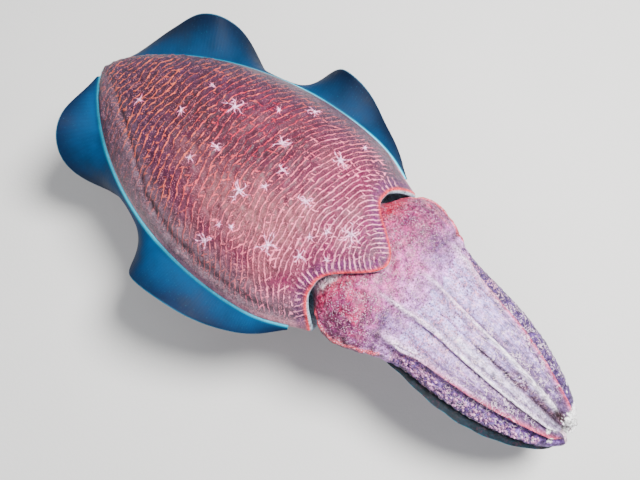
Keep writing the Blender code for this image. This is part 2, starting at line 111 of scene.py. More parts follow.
# Star-shaped papillae on the back: place along the body, place across, and reach of their rays
STARS = (
    (0.115, 0.026, 0.0085), (0.159, 0.0625, 0.0065), (0.0865, -0.0004, 0.0050),
    (0.115, -0.024, 0.0050), (0.126, -0.007, 0.0060), (0.160, 0.024, 0.0070),
    (0.173, 0.008, 0.0060), (0.159, -0.0225, 0.0080), (0.171, -0.009, 0.0045),
    (0.199, 0.041, 0.0095), (0.200, 0.000, 0.0080), (0.160, -0.0625, 0.0075),
    (0.198, -0.040, 0.0090), (0.2175, -0.018, 0.0050), (0.2245, -0.008, 0.0055),
    (0.2385, 0.0006, 0.0095), (0.2195, -0.0325, 0.0060), (0.236, -0.023, 0.0045),
    (0.054, -0.011, 0.0055), (0.162, -0.0485, 0.0040), (0.170, -0.045, 0.0035),
    (0.140, 0.045, 0.0040), (0.205, 0.063, 0.0050), (0.090, 0.030, 0.0040),
)

# Each ray of a star: its steps along the skin, the sides of its section, how far it turns
# at a step and the radius of its end. Stars with a longer reach than this have forked rays
RAY_STEPS = 9
RAY_SIDES = 7
RAY_WANDER = 0.24
RAY_TIP = 0.00006
STAR_FORK_REACH = 0.0055
STAR_DOME_SIDES = 12
# A height above the whole animal, from which its skin is looked for
HEIGHT_ABOVE = 0.4
STAR_DOME = ((1.25, -0.12), (0.95, 0.10), (0.62, 0.42), (0.40, 0.74), (0.22, 0.95), (0.06, 1.02))

# Fins, as in the solids
FIN_START_AT = 0.003
FIN_END_AT = 0.254
FIN_ROOT_THICKNESS = 0.0026
FIN_EDGE_THICKNESS = 0.0010
FIN_ROOT_SWING = 0.30
FIN_WIDTHS = (
    (FIN_START_AT, 0.004), (0.020, 0.026), (0.040, 0.038), (0.070, 0.037),
    (0.130, 0.032), (0.160, 0.030), (0.205, 0.018), (FIN_END_AT, 0.0035),
)
FIN_SWINGS = {
    "right": (
        (0.0, -20), (0.024, 16), (0.062, -92), (0.100, -114),
        (0.132, -8), (0.150, 16), (0.200, -6), (FIN_END_AT, -40),
    ),
    "left": (
        (0.0, -80), (0.032, -20), (0.060, 16), (0.096, -80),
        (0.120, -96), (0.152, 18), (0.200, -28), (FIN_END_AT, -60),
    ),
}
FIN_ROWS = 330
FIN_COLUMNS = 34
FIN_ROOT_FLARE = 0.0022
FIN_FLARE_REACH = 0.0016
FIN_OVERLAP = 0.0014
FIN_BAR_SPACING = 0.0021

# Head, as in the solids
ARMS_AT = 0.303
HEAD_STATIONS = (
    (CAVITY_FLOOR_AT, 0.0330, 0.0185, -0.0080), (0.224, 0.0360, 0.0215, -0.0110),
    (0.238, 0.0430, 0.0240, -0.0145), (0.250, 0.0560, 0.0252, -0.0185),
    (0.264, 0.0640, 0.0256, -0.0225), (0.279, 0.0620, 0.0250, -0.0250),
    (0.292, 0.0570, 0.0240, -0.0258), (ARMS_AT, 0.0515, 0.0230, -0.0260),
)
EYE_AT = 0.271
EYE_OUT = 0.0470
EYE_DROP = -0.0060
EYE_RADII = (0.0145, 0.0150, 0.0135)
LOBE_BULGE = 0.0040
LOBE_OUT = 0.040
LOBE_REACH = 0.014
LOBE_LENGTH = 0.016
LID_OVERHANG = 0.004
UNDERCUT = 0.13
LID_RADIUS = 0.0024
LIDS = {"upper": (8, 172, 1.08, 0.62, 0.84), "lower": (200, 340, 0.92, 0.76, 0.68)}
SWAY_STATIONS = (
    (CAVITY_FLOOR_AT, 0.0), (0.236, 0.0006), (0.268, 0.0034),
    (0.300, 0.0028), (0.350, -0.0004), (0.442, -0.0050),
)
LID_ROWS = 60
LID_SIDES = 20
HEAD_VOXEL = 0.00078
HEAD_COLUMNS = 200
HEAD_ROWS = 110
COLLAR_ROWS = 60
# The mound's outer rim: its run along the body, degrees round the head, and how far it stands out
BROW_RUN = (0.2455, 0.3010)
BROW_ROWS = 60
BROW_SIDES = 16
BROW_ANGLE = 77.0
BROW_OUT = 0.0003
BROW_RADIUS = 0.0016
# Deeper modelling of the head's skin: the mounds' rise, the dip between them, and the fold behind the arms
MOUND_RISE = 0.0020
MIDDLE_DIP = 0.0014
FOLD_DEPTH = 0.0020
# The head's skin runs on over the roots of the arms and sinks below them
COLLAR_TO = 0.352
COLLAR_SINK = 0.20

# Arms, as in the solids
CROWN_STATIONS = (
    (ARMS_AT, 0.0515, 0.0240, -0.0020), (0.322, 0.0475, 0.0234, -0.0036),
    (0.342, 0.0460, 0.0222, -0.0062), (0.376, 0.0415, 0.0196, -0.0120),
    (0.406, 0.0325, 0.0160, -0.0200), (0.429, 0.0215, 0.0118, -0.0275),
    (0.442, 0.0125, 0.0082, -0.0315),
)
ARM_TIPS = (0.433, 0.438, 0.442, 0.444)
ARM_CENTRE = 0.71
ARM_HALF_THICK = 0.29
ARM_OVERLAP = 0.0004
ARM_SQUARENESS = (0.30, 0.34, 0.44, 0.46)
# How deep the groove lies between the two uppermost arms, and the step down to the arms at the sides
MIDDLE_GROOVE_DEPTH = 0.0012
BAND_STEPS = {"left": 0.0012, "right": 0.0030}
TIP_TAPER_SHARE = 0.07
TIP_SPREAD_SHARE = 0.030
ARM_ROWS = 112
ARM_OUTER_COLUMNS = 32
ARM_INNER_COLUMNS = 18
# Degrees from the back's midline of the middle of the upper arms
CROWN_MIDDLE = -7
# Degrees from the back's midline of the lines between the arms, at their roots and tips
ARM_EDGES = {
    "left": ((-6, -8), (12, 8), (54, 31), (112, 108), (180, 180)),
    "right": ((-6, -8), (-24, -29), (-56, -39), (-112, -108), (-180, -180)),
}
# Where each keel starts on the head, the degrees of its line at root and tip, and its height
KEELS = {
    "left": ((0.286, 9, 5, 0.0020), (0.287, 51, 28, 0.0022)),
    "right": ((0.270, -21, -24.5, 0.0016), (0.285, -53, -36, 0.0024)),
}
KEEL_WIDTH = 0.0010
KEEL_HOLLOW = 0.50
KEEL_SHADOWS = {"left": 0.35, "right": 0.80}
# Painted shade in the groove along each arm's upper edge: where it starts, how dark, how broad and how
# unbroken it is
GROOVE_SHADES = (
    (0.326, 1.0, 1.25, 1.1), (0.330, 0.40, 1.0, 0.8),
    (0.330, 0.85, 1.0, 0.8), (0.330, 0.8, 1.0, 0.8),
)

# White marks near the tips, and the hollow there, dented and given painted shade: place along, across and
# reach
TIP_MARKS = (
    (0.4336, 0.0090, 0.0030), (0.4372, 0.0040, 0.0030), (0.4392, -0.0020, 0.0026),
    (0.4382, 0.0085, 0.0026), (0.4370, -0.0085, 0.0017), (0.4249, -0.0159, 0.0017),
    (0.4306, -0.0195, 0.0020), (0.4205, -0.0262, 0.0015), (0.4210, 0.0150, 0.0013),
    (0.4180, 0.0210, 0.0014),
)
WHITE_ENDS_FROM = 0.4300
TIP_HOLLOW = (0.4262, -0.0024, 0.0036)

# Thin membrane along the outer edge of each lowest arm
MEMBRANE_RUN = (0.305, 0.436)
MEMBRANE_ANGLE = 96.0
MEMBRANE_WIDTH = 0.0082
MEMBRANE_THICKNESS = 0.0010
MEMBRANE_ROWS = 110
MEMBRANE_SIDES = 26
MEMBRANE_DROPS = {"left": 76.0, "right": 5.0}

# Suckers, in four rows down the inner face of each arm
SUCKERS_IN_ROW = 24
SUCKER_ROWS = (-0.54, -0.18, 0.18, 0.54)
SUCKER_RADII = (0.0009, 0.0010, 0.0013, 0.0015)
SUCKER_TIP_SCALE = 0.42
SUCKER_SIDES = 9
# A cup's radii and heights from its stalk to its hollow, and how dark each is
SUCKER_PROFILE = (
    (0.55, -0.5), (0.50, 0.0), (0.92, 0.42), (1.0, 0.72),
    (0.84, 0.86), (0.55, 0.70), (0.30, 0.48),
)
SUCKER_TONES = (0, 0, 0, 0.1, 0.3, 0.8, 1.0)

# Small papillae over the outer arms and the front of the head: how many, and their size
ARM_PAPILLAE = (1050, 0.00095)
HEAD_PAPILLAE = (420, 0.00050)
SMALL_PAPILLA_SIDES = 7
SMALL_PAPILLA_PROFILE = ((1.2, -0.35), (0.85, 0.18), (0.50, 0.50), (0.16, 0.64))

# Siphon, as in the solids
SIPHON_END_AT = 0.280
SIPHON_RADII = (0.0066, 0.0066, 0.0050)
SIPHON_BREADTH = 1.55
SIPHON_BORE_DEPTH = 0.012
SIPHON_WALL = 0.0020
SIPHON_ROWS = 40
SIPHON_COLUMNS = 48

# Eyes: rows and columns of the skin's grid, and half the slit's length as a share of the eye's
EYE_ROWS = 110
EYE_COLUMNS = 144
SLIT_HALF = 0.52

# Camera, aimed as the photograph was taken
CAMERA_AZIMUTH = -52.3
CAMERA_ELEVATION = 72.0
CAMERA_DISTANCE = 0.52
CAMERA_TARGET = (-0.0066, -0.0474, 0.088)
CAMERA_LENS = 40.0
CAMERA_SENSOR = 36.0

# Lights: name, place, size, power and colour. The sky's glow fills the shadows
LIGHTS = (
    ("key_light", (0.36, -0.30, 1.06), 0.46, 41.0, (1.0, 0.98, 0.96)),
    ("fill_light", (-0.8, -0.5, 0.8), 0.9, 7.0, (0.94, 0.97, 1.0)),
    ("rim_light", (0.3, 1.1, 0.7), 0.7, 5.0, (1.0, 1.0, 1.0)),
)
SKY_COLOUR = (0.93, 0.95, 1.0, 1.0)
SKY_STRENGTH = 0.26
FLOOR_REACH = 4
FLOOR_DROP = 0.0002

# Waves in each soft noise, and the colour sockets of a node that mixes two colours
NOISE_WAVES = 28
MIX_FIRST, MIX_SECOND, MIX_RESULT = 6, 7, 2

# Which way each side lies, and how values are stored on a mesh
SIDES = {"left": 1, "right": -1}
LAYER_KINDS = {
    "colour": ("FLOAT_COLOR", "color"),
    "number": ("FLOAT", "value"),
    "vector": ("FLOAT_VECTOR", "vector"),
}


def rgb(red, green, blue):
    """A colour in linear light from the usual 0 to 255 values."""
    value = np.array([red, green, blue], float) / 255
    return np.where(value <= 0.04045, value / 12.92, ((value + 0.055) / 1.055) ** 2.4)


# Patches on the back and on the head: place along and across, reach, colour and strength
BACK_PATCHES = (
    (0.052, 0.003, 0.020, "dark", 0.75), (0.086, 0.006, 0.022, "dark", 0.85),
    (0.119, 0.002, 0.020, "dark", 0.75), (0.150, 0.002, 0.017, "dark", 0.60),
    (0.168, 0.030, 0.020, "dark", 0.55), (0.112, -0.022, 0.012, "pale", 0.25),
    (0.145, -0.032, 0.017, "pale", 0.45), (0.172, -0.035, 0.019, "pale", 0.50),
    (0.197, -0.030, 0.019, "pale", 0.50), (0.203, -0.008, 0.014, "pale", 0.40),
)
HEAD_PATCHES = (
    (0.2725, 0.0401, 0.0060, "red", 0.50), (0.2670, 0.0330, 0.0050, "red", 0.45),
    (0.2714, -0.0356, 0.0060, "red", 0.55), (0.2670, -0.0260, 0.0045, "red", 0.45),
    (0.2487, -0.0303, 0.0055, "crimson", 0.85), (0.2547, -0.0213, 0.0050, "crimson", 0.65),
    (0.2455, 0.0423, 0.0072, "scarlet", 1.0), (0.2475, 0.0335, 0.0056, "scarlet", 0.90),
    (0.2425, -0.0370, 0.0030, "pale", 0.85), (0.2437, -0.0310, 0.0026, "pale", 0.85),
    (0.2452, -0.0250, 0.0024, "pale", 0.70), (0.2670, 0.0370, 0.0140, "mauve", 0.65),
    (0.2770, 0.0330, 0.0090, "mauve", 0.55), (0.2560, 0.0100, 0.0110, "mauve", 0.30),
    (0.2870, 0.0345, 0.0070, "slate", 0.60), (0.2915, 0.0400, 0.0070, "slate", 0.60),
    (0.2930, 0.0240, 0.0060, "slate", 0.35), (0.2890, -0.0300, 0.0046, "slate", 0.50),
    (0.2968, -0.0297, 0.0060, "grey", 0.65), (0.2960, 0.0280, 0.0060, "grey", 0.45),
)
HEAD_PATCH_COLOURS = {
    "red": rgb(176, 50, 104),
    "mauve": rgb(104, 34, 84),
    "crimson": rgb(142, 14, 48),
    "scarlet": rgb(178, 10, 44),
    "pale": rgb(236, 222, 232),
    "grey": rgb(124, 104, 160),
    "slate": rgb(70, 50, 92),
}
BACK_COLOURS = (
    (0.00, rgb(46, 32, 58)), (0.05, rgb(46, 28, 54)),
    (0.11, rgb(66, 22, 48)), (0.17, rgb(84, 22, 50)),
    (0.22, rgb(108, 20, 62)), (0.27, rgb(104, 24, 78)),
)
LINE_COLOURS = (
    (0.00, rgb(202, 92, 70)), (0.08, rgb(222, 98, 70)),
    (0.14, rgb(236, 84, 96)), (0.20, rgb(255, 124, 160)),
    (0.27, rgb(255, 156, 194)),
)

# Colours of the back's skin
CRIMSON_LINE_COLOUR = rgb(200, 26, 66)
FLANK_COLOUR = rgb(134, 116, 128)
TAIL_FLANK_COLOUR = rgb(84, 66, 80)
# Painted shade over the animal's left flank, the side that the key light faces
LEFT_FLANK_SHADE_COLOUR = rgb(44, 44, 60)
FLANK_LINE_COLOUR = rgb(162, 86, 84)
BACK_PATCH_COLOURS = {"dark": rgb(50, 6, 24), "pale": rgb(152, 90, 94)}
# Painted shade along the crease beside the mantle's edge
CREASE_SHADE_COLOUR = rgb(52, 36, 46)
RIM_COLOUR = rgb(181, 119, 137)
EDGE_COLOUR = rgb(228, 44, 58)
COMB_GROUND_COLOUR = rgb(84, 32, 84)
COMB_LINE_COLOUR = rgb(255, 170, 204)
CAVITY_COLOUR = rgb(146, 176, 192)
BELLY_COLOUR = rgb(168, 142, 156)
STAR_COLOURS = (rgb(250, 192, 232), rgb(238, 134, 180), rgb(224, 92, 132))

# Colours of the fins from root to edge, their deep blue partly painted water seen through the membrane and
# reflected in it, and the painted shade that darkens each side, the left most
FIN_COLOURS = (
    (0.00, rgb(36, 214, 250)), (0.05, rgb(4, 142, 196)),
    (0.10, rgb(0, 58, 100)), (0.45, rgb(0, 47, 84)),
    (0.80, rgb(0, 31, 62)), (0.96, rgb(0, 24, 54)),
    (1.00, rgb(50, 120, 150)),
)
FIN_SIDE_SHADES = {"left": 0.58, "right": 0.90}
FIN_FRECKLE_COLOUR = rgb(60, 150, 180)

# Colours of the head, the arms and the siphon
HEAD_COLOURS = (
    (0.234, rgb(112, 136, 152)), (0.243, rgb(150, 44, 82)),
    (0.262, rgb(162, 54, 110)), (0.280, rgb(182, 84, 156)),
    (0.296, rgb(190, 128, 202)), (0.330, rgb(192, 160, 214)),
)
HEAD_FLECK_COLOUR = rgb(190, 136, 170)
LOBE_COLOUR = rgb(80, 22, 62)
LOBE_PATCH_COLOUR = rgb(190, 42, 84)
LID_COLOUR = rgb(206, 78, 92)
LID_TINT_STRENGTHS = {"upper": 0.70, "lower": 0.30}
RECESS_PATCH_COLOUR = rgb(180, 30, 76)
UNDER_HEAD_COLOUR = rgb(146, 124, 148)
ARM_COLOUR = rgb(182, 162, 236)
ARM_PALE_COLOUR = rgb(226, 214, 246)
ARM_SHADE_COLOUR = rgb(84, 60, 98)
WRINKLE_COLOUR = rgb(112, 70, 84)
ARM_PINK_COLOUR = rgb(176, 124, 178)
BAND_COLOURS = (rgb(84, 50, 108), rgb(126, 92, 166), rgb(38, 24, 70))
# Painted shade in the grooves between the arms, in the folds behind the mounds, under the mounds' rims and
# below the lower keels
DEEP_SHADE_COLOUR = rgb(58, 42, 60)
KEEL_COLOURS = (rgb(246, 236, 255), rgb(206, 74, 104))
KEEL_ROOT_COLOUR = rgb(238, 208, 246)
# Painted shade in the hollow near the arms' tips
TIP_HOLLOW_SHADE_COLOUR = rgb(44, 26, 34)
# The membrane's blue-green darkened with painted shade, also laid along the arms' lower sides
SHADED_MEMBRANE_COLOUR = rgb(0, 22, 34)
TIP_COLOUR = rgb(255, 252, 250) * 1.5
SUCKER_COLOUR = rgb(206, 188, 190)
SIPHON_COLOUR = rgb(196, 184, 194)
SMALL_PAPILLA_COLOURS = (rgb(222, 164, 204), rgb(126, 76, 132))

# Colours of the marks that every skin carries: dark spots, curls on the head and arms, pale granules
DARK_DOT_COLOUR = rgb(58, 22, 44)
CURL_COLOURS = (rgb(255, 158, 194), rgb(255, 232, 248))
GRANULE_COLOURS = {"plain": rgb(255, 188, 210), "back": rgb(210, 126, 146), "head": rgb(255, 208, 232)}

# Colours of the eyes, the stand and the floor
EYE_COLOURS = {
    "white": rgb(60, 44, 52),
    "iris": rgb(186, 170, 132),
    "iris_edge": rgb(120, 92, 84),
    "slit": rgb(5, 5, 8),
    "fleck": rgb(240, 232, 200),
}
STAND_COLOURS = (rgb(46, 47, 50), rgb(58, 60, 63))
STAND_SPECK_COLOUR = rgb(120, 122, 126)
FLOOR_COLOURS = (rgb(204, 204, 203), rgb(208, 208, 207))


def smooth_step(value):
    """0 below 0, 1 above 1, and an S between."""
    value = np.clip(value, 0.0, 1.0)
    return value * value * (3.0 - 2.0 * value)


def rising(value, start, run):
    """0 up to the start, 1 a run past it, and an S between."""
    return smooth_step((value - start) / run)


def falling(value, end, run):
    """0 from the end on, 1 a run or more before it, and an S between."""
    return smooth_step((end - value) / run)


def bell(value, width):
    """1 at 0, and nearly 0 at twice the width on both sides."""
    return np.exp(-((np.asarray(value) / width) ** 2))


def blend(first, second, share):
    """Colours part of the way from the first to the second."""
    share = np.clip(np.asarray(share, float), 0.0, 1.0)
    if share.ndim:
        share = share[..., None]
    return first * (1 - share) + second * share


def paint(tint, *layers):
    """Lays each layer's colour over the tint, by its share."""
    for colour, share in layers:
        tint = blend(tint, colour, share)
    return tint


def from_table(table, place):
    """Values at each place, from a table of places with a value each."""
    return np.interp(place, [row[0] for row in table], [row[1] for row in table])


def colour_stops(stops, place):
    """Colours for each place, from stops in order."""
    at = [row[0] for row in stops]
    return np.stack([np.interp(place, at, [row[1][k] for row in stops]) for k in range(3)], axis=-1)


def station_curve(stations, column):
    """A function that passes smoothly through one column of the stations."""
    at = np.array([row[0] for row in stations], float)
    value = np.array([row[column] for row in stations], float)
    slope = np.gradient(value, at)

    def curve(place):
        place = np.clip(np.asarray(place, float), at[0], at[-1])
        index = np.clip(np.searchsorted(at, place, side="right") - 1, 0, len(at) - 2)
        span = at[index + 1] - at[index]
        share = (place - at[index]) / span
        square, cube = share**2, share**3
        start, end = index, index + 1
        leaving = slope[start] * span * (cube - 2 * square + share)
        arriving = slope[end] * span * (cube - square)
        before = value[start] * (2 * cube - 3 * square + 1) + leaving
        after = value[end] * (3 * square - 2 * cube) + arriving
        return before + after

    return curve


def unit(vectors):
    """The same directions with a length of 1."""
    return vectors / np.maximum(np.linalg.norm(vectors, axis=-1, keepdims=True), 1e-12)


def circle(count):
    """Even turns once round."""
    return np.linspace(0, 2 * math.pi, count, endpoint=False)


def soft_noise(points, wavelength, seed):
    """Smooth noise from about -1 to 1 at each point, the same on each run."""
    draw = np.random.default_rng(seed)
    total = np.zeros(len(points))
    for _ in range(NOISE_WAVES):
        way = draw.normal(size=points.shape[1])
        way /= np.linalg.norm(way)
        length = wavelength * draw.uniform(0.65, 1.6)
        total += np.cos(points @ way * (2 * math.pi / length) + draw.uniform(0, 2 * math.pi))
    return total * math.sqrt(2 / NOISE_WAVES) / 1.6


# Meshes


def grid_faces(rows, columns):
    """Four-sided faces of a grid of points that closes round its columns."""
    row, column = np.meshgrid(np.arange(rows - 1), np.arange(columns), indexing="ij")
    after = (column + 1) % columns
    low, high = row * columns, (row + 1) * columns
    return np.stack([low + column, low + after, high + after, high + column], axis=-1).reshape(-1, 4)


def fan_faces(first, columns, centre):
    """Three-sided faces from a ring of points to one point."""
    column = np.arange(columns)
    return np.stack([first + column, first + (column + 1) % columns, np.full(columns, centre)], axis=-1)


def loft(rings):
    """Points and faces of rings joined in order, closed round, with a fan at both ends."""
    rings = np.asarray(rings)
    count = rings.shape[1]
    points = np.concatenate([rings.reshape(-1, 3), rings[:1].mean(axis=1), rings[-1:].mean(axis=1)])
    start = fan_faces(0, count, len(points) - 2)[:, ::-1]
    end = fan_faces((len(rings) - 1) * count, count, len(points) - 1)
    return points, [grid_faces(len(rings), count), start, end]


def tube(path, radii, across, over, sides):
    """Points and faces of a tube along a path, with two directions for each of its sections."""
    turn = circle(sides)
    rings = [
        spot + radius * (np.outer(np.cos(turn), side) + np.outer(np.sin(turn), up))
        for spot, radius, side, up in zip(path, radii, across, over)
    ]
    return loft(rings)


def plain_mesh(name, points, faces):
    """A mesh of the faces with smooth shading, turned to point out."""
    mesh = bpy.data.meshes.new(name)
    mesh.from_pydata(points.tolist(), [], [face for block in faces for face in block.tolist()])
    mesh.calc_loop_triangles()
    corners = np.zeros(len(mesh.loop_triangles) * 3, int)
    mesh.loop_triangles.foreach_get("vertices", corners)
    tri = points[corners.reshape(-1, 3)]
    volume = np.einsum("ij,ij->i", tri[:, 0], np.cross(tri[:, 1], tri[:, 2])).sum()
    if volume < 0:
        mesh.flip_normals()
    mesh.shade_smooth()
    return mesh


def mesh_rows(mesh, field):
    """Three numbers of each point of a mesh, such as its place."""
    rows = np.zeros(len(mesh.vertices) * 3)
    mesh.vertices.foreach_get(field, rows)
    return rows.reshape(-1, 3)


def set_layer(mesh, name, kind, values):
    """Stores a colour, a number or three numbers for each point, and 0 for points left over."""
    stored_as, field = LAYER_KINDS[kind]
    values = np.asarray(values, float)
    left = len(mesh.vertices) - len(values)
    values = np.concatenate([values, np.zeros((left, *values.shape[1:]))])
    if kind == "colour":
        values = np.column_stack([np.clip(values, 0, 1), np.ones(len(values))])
    mesh.attributes.new(name, stored_as, "POINT").data.foreach_set(field, values.ravel())


def join_parts(parts):
    """One set of points and faces from several, with their colours."""
    points, faces, colours, offset = [], [], [], 0
    for part_points, part_faces, part_colours in parts:
        points.append(part_points)
        faces += [np.asarray(block) + offset for block in part_faces]
        colours.append(np.broadcast_to(part_colours, part_points.shape))
        offset += len(part_points)
    return np.concatenate(points), faces, np.concatenate(colours)


def put_in_scene(name, data):
    """An object of the data, linked to the scene."""
    thing = bpy.data.objects.new(name, data)
    bpy.context.scene.collection.objects.link(thing)
    return thing


def add_piece(mesh, material, stands_for=()):
    """Puts a mesh in the scene, riding on the body, in place of the nodes that it stands for."""
    piece = put_in_scene(mesh.name, mesh)
    mesh.materials.clear()
    mesh.materials.append(material)
    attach(piece, "root")
    if stands_for:
        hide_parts(*stands_for)
    return piece


def stamp(template, spots, axes, radii, heights, turn_seed):
    """Copies a small round form, made round +Z in units of its radius, to each spot."""
    draw = np.random.default_rng(turn_seed)
    points, faces = template
    parts = []
    for spot, axis, radius, height in zip(spots, axes, radii, heights):
        side = unit(np.cross(axis, [0.31, 0.87, 0.38]))
        angle = draw.uniform(0, 2 * math.pi)
        turned = side * math.cos(angle) + np.cross(axis, side) * math.sin(angle)
        ways = np.stack([radius * turned, radius * np.cross(axis, turned), height * np.asarray(axis)])
        parts.append(spot + points @ ways)
    blocks = [np.concatenate([block + k * len(points) for k in range(len(parts))]) for block in faces]
    return np.concatenate(parts), blocks


def turned_profile(profile, sides):
    """A closed form turned round +Z from radius and height pairs."""
    turn = circle(sides)
    return loft([
        np.stack([radius * np.cos(turn), radius * np.sin(turn), np.full(sides, height)], axis=1)
        for radius, height in profile
    ])


# Materials


class Value:
    """A result in a material's nodes, which can be added to, taken from and multiplied."""

    def __init__(self, graph, socket):
        self.graph = graph
        self.socket = socket

    def __add__(self, other):
        return self.graph.math("ADD", self, other)

    def __sub__(self, other):
        return self.graph.math("SUBTRACT", self, other)

    def __rsub__(self, other):
        return self.graph.math("SUBTRACT", other, self)

    def __mul__(self, other):
        return self.graph.math("MULTIPLY", self, other)


class Graph:
    """Builds a material's nodes."""

    def __init__(self, name):
        self.material = bpy.data.materials.new(name)
        self.material.use_nodes = True
        self.tree = self.material.node_tree

    def put(self, socket, value):
        if isinstance(value, Value):
            self.tree.links.new(value.socket, socket)
        elif socket.type == "RGBA":
            socket.default_value = (*[float(part) for part in value], 1.0)
        else:
            socket.default_value = value

    def node(self, kind, output, inputs, **settings):
        """One result of a new node with these inputs and settings."""
        node = self.tree.nodes.new(f"ShaderNode{kind}")
        for name, value in settings.items():
            setattr(node, name, value)
        for key, value in inputs.items():
            self.put(node.inputs[key], value)
        return Value(self, node.outputs[output])

    def place(self):
        return self.node("TexCoord", "Object", {})

    def attribute(self, name, output="Fac"):
        return self.node("Attribute", output, {}, attribute_name=name)

    def parts(self, name):
        """The three numbers that a mesh stores under a name."""
        first = self.node("SeparateXYZ", 0, {0: self.attribute(name, "Vector")})
        return [Value(self, part) for part in first.socket.node.outputs]

    def math(self, kind, first, second=0.0, clamp=False):
        return self.node("Math", 0, {0: first, 1: second}, operation=kind, use_clamp=clamp)

    def span(self, value, low, high, to_low=0.0, to_high=1.0):
        """The value's part of the way from low to high, held between the two results."""
        inputs = dict(enumerate((value, low, high, to_low, to_high)))
        return self.node("MapRange", 0, inputs, interpolation_type="SMOOTHSTEP")

    def eased(self, value, low, high, to_low, to_high, share):
        """A factor between the two results, brought back towards 1 where the share is small."""
        return (self.span(value, low, high, to_low, to_high) - 1.0) * share + 1.0

    def noise(self, scale, detail=3.0, roughness=0.55, vector=None):
        inputs = {"Scale": scale, "Detail": detail, "Roughness": roughness}
        return self.node("TexNoise", "Fac", {"Vector": vector or self.place(), **inputs})

    def cells(self, scale):
        return self.node("TexVoronoi", "Distance", {"Vector": self.place(), "Scale": scale})

    def stretched(self, scale):
        return self.node("Mapping", 0, {"Vector": self.place(), "Scale": scale})

    def mix(self, share, first, second, kind="MIX"):
        inputs = {"Factor": share, MIX_FIRST: first, MIX_SECOND: second}
        return self.node("Mix", MIX_RESULT, inputs, data_type="RGBA", blend_type=kind, clamp_result=True)

    def shaded_tint(self, name, shade):
        """A stored colour made lighter and darker by the shade."""
        return self.mix(1.0, self.attribute(name, "Color"), shade, "MULTIPLY")

    def finish(self, colour, roughness, height, depth, coat=0.0, coat_roughness=0.3, specular=0.5):
        """The material, with its surface and its bump."""
        surface = {
            "Base Color": colour,
            "Roughness": roughness,
            "Normal": self.node("Bump", 0, {"Distance": depth, "Height": height}),
            "Coat Weight": coat,
            "Coat Roughness": coat_roughness,
            "Specular IOR Level": specular,
        }
        for key, value in surface.items():
            self.put(self.tree.nodes["Principled BSDF"].inputs[key], value)
        return self.material


def skin_material(name, lined=False, contrast=1.0, granule="plain"):
    """Wet skin: its stored tint with mottling, pale granules, dark spots and, on the back, lines."""
    graph = Graph(name)
    span, noise, cells = graph.span, graph.noise, graph.cells
    streaks = graph.attribute("streaks")
    mottle, fine = noise(170.0, 6.0, 0.65), noise(700.0, 4.0, 0.70)
    calm = 1.0 - streaks * 0.65
    strands = noise(1.0, 4.0, 0.6, graph.stretched((800.0, 110.0, 800.0)))
    low, high = 1 - 0.40 * contrast, 1 + 0.36 * contrast
    shade = span(mottle, 0.25, 0.75, low, high) * graph.eased(fine, 0.32, 0.68, low, high, calm)
    colour = graph.shaded_tint("tint", shade * graph.eased(strands, 0.34, 0.66, 0.42, 1.42, streaks))
    dark_dots = span(cells(540.0), 0.42, 0.22) * span(noise(70.0), 0.40, 0.58, 0.35, 1.0) * calm
    colour = graph.mix(dark_dots * (0.35 + 0.30 * contrast), colour, DARK_DOT_COLOUR)
    pale_dots = graph.math("MAXIMUM", span(cells(900.0), 0.42, 0.20), span(cells(560.0), 0.32, 0.14))
    pale_dots = pale_dots * span(noise(330.0, 2.0), 0.42, 0.58) * graph.attribute("grain")
    colour = graph.mix(pale_dots * (0.40 + 0.30 * contrast), colour, GRANULE_COLOURS[granule])
    curls = span(graph.math("ABSOLUTE", noise(260.0, 2.0, 0.5) - 0.5), 0.036, 0.012)
    curls = curls * graph.attribute("ticks") * span(noise(190.0, 2.0), 0.44, 0.56)
    colour = graph.mix(curls * 0.8, colour, graph.mix(streaks, *CURL_COLOURS))
    height = (mottle * 0.7 + fine * 0.5 + pale_dots * 0.6) * calm
    if lined:
        line = back_lines(graph)
        colour = graph.mix(line, colour, graph.shaded_tint("line_tint", span(fine, 0.2, 0.8, 0.80, 1.25)))
        height = height + line * 0.9
    roughness = span(fine, 0.2, 0.8, 0.36, 0.62)
    return graph.finish(colour, roughness, height, 0.00105, coat=0.06, coat_roughness=0.25, specular=0.26)


def back_lines(graph):
    """Fine crooked lines that branch, swell and break, from the wave that the skin stores."""
    span, noise = graph.span, graph.noise
    crook = (noise(150.0, 4.0) - 0.5) * 4.4 + (noise(480.0, 2.0) - 0.5) * 2.1

    def crest(parts):
        return graph.math("COSINE", graph.math("ARCTAN2", parts[1], parts[0]) + crook)

    main, side = graph.parts("wave"), graph.parts("web")
    level = span(noise(210.0, 3.0), 0.28, 0.72, 0.965, 0.65) - graph.attribute("breadth") * 0.13
    line = span(crest(main), level, level + 0.20) * span(noise(200.0, 3.0, 0.6), 0.32, 0.40)
    line = line * span(noise(120.0, 3.0), 0.3, 0.6, 0.62, 1.0) * main[2]
    twig = span(crest(side), 0.70, 0.94) * span(noise(180.0, 2.0), 0.55, 0.61) * side[2]
    return graph.math("MAXIMUM", line, twig, clamp=True)


def fin_material():
    """Thin wet membrane with faint bars of muscle from its root to its edge."""
    graph = Graph("fin_membrane")
    bar = graph.math("SINE", graph.parts("bars")[0] + graph.noise(160.0, 3.0) * 5.0)
    cloud, fine = graph.noise(55.0, 5.0, 0.6), graph.noise(1100.0, 3.0, 0.6)
    shade = graph.span(cloud, 0.25, 0.75, 0.80, 1.22) * graph.span(bar, -1.0, 1.0, 0.97, 1.03)
    freckle = graph.span(graph.cells(520.0), 0.26, 0.12) * graph.span(fine, 0.45, 0.7)
    colour = graph.mix(freckle * 0.12, graph.shaded_tint("tint", shade), FIN_FRECKLE_COLOUR)
    roughness = graph.span(cloud, 0.25, 0.75, 0.52, 0.68)
    return graph.finish(colour, roughness, bar * 0.10 + fine * 0.4, 0.00018, specular=0.10)


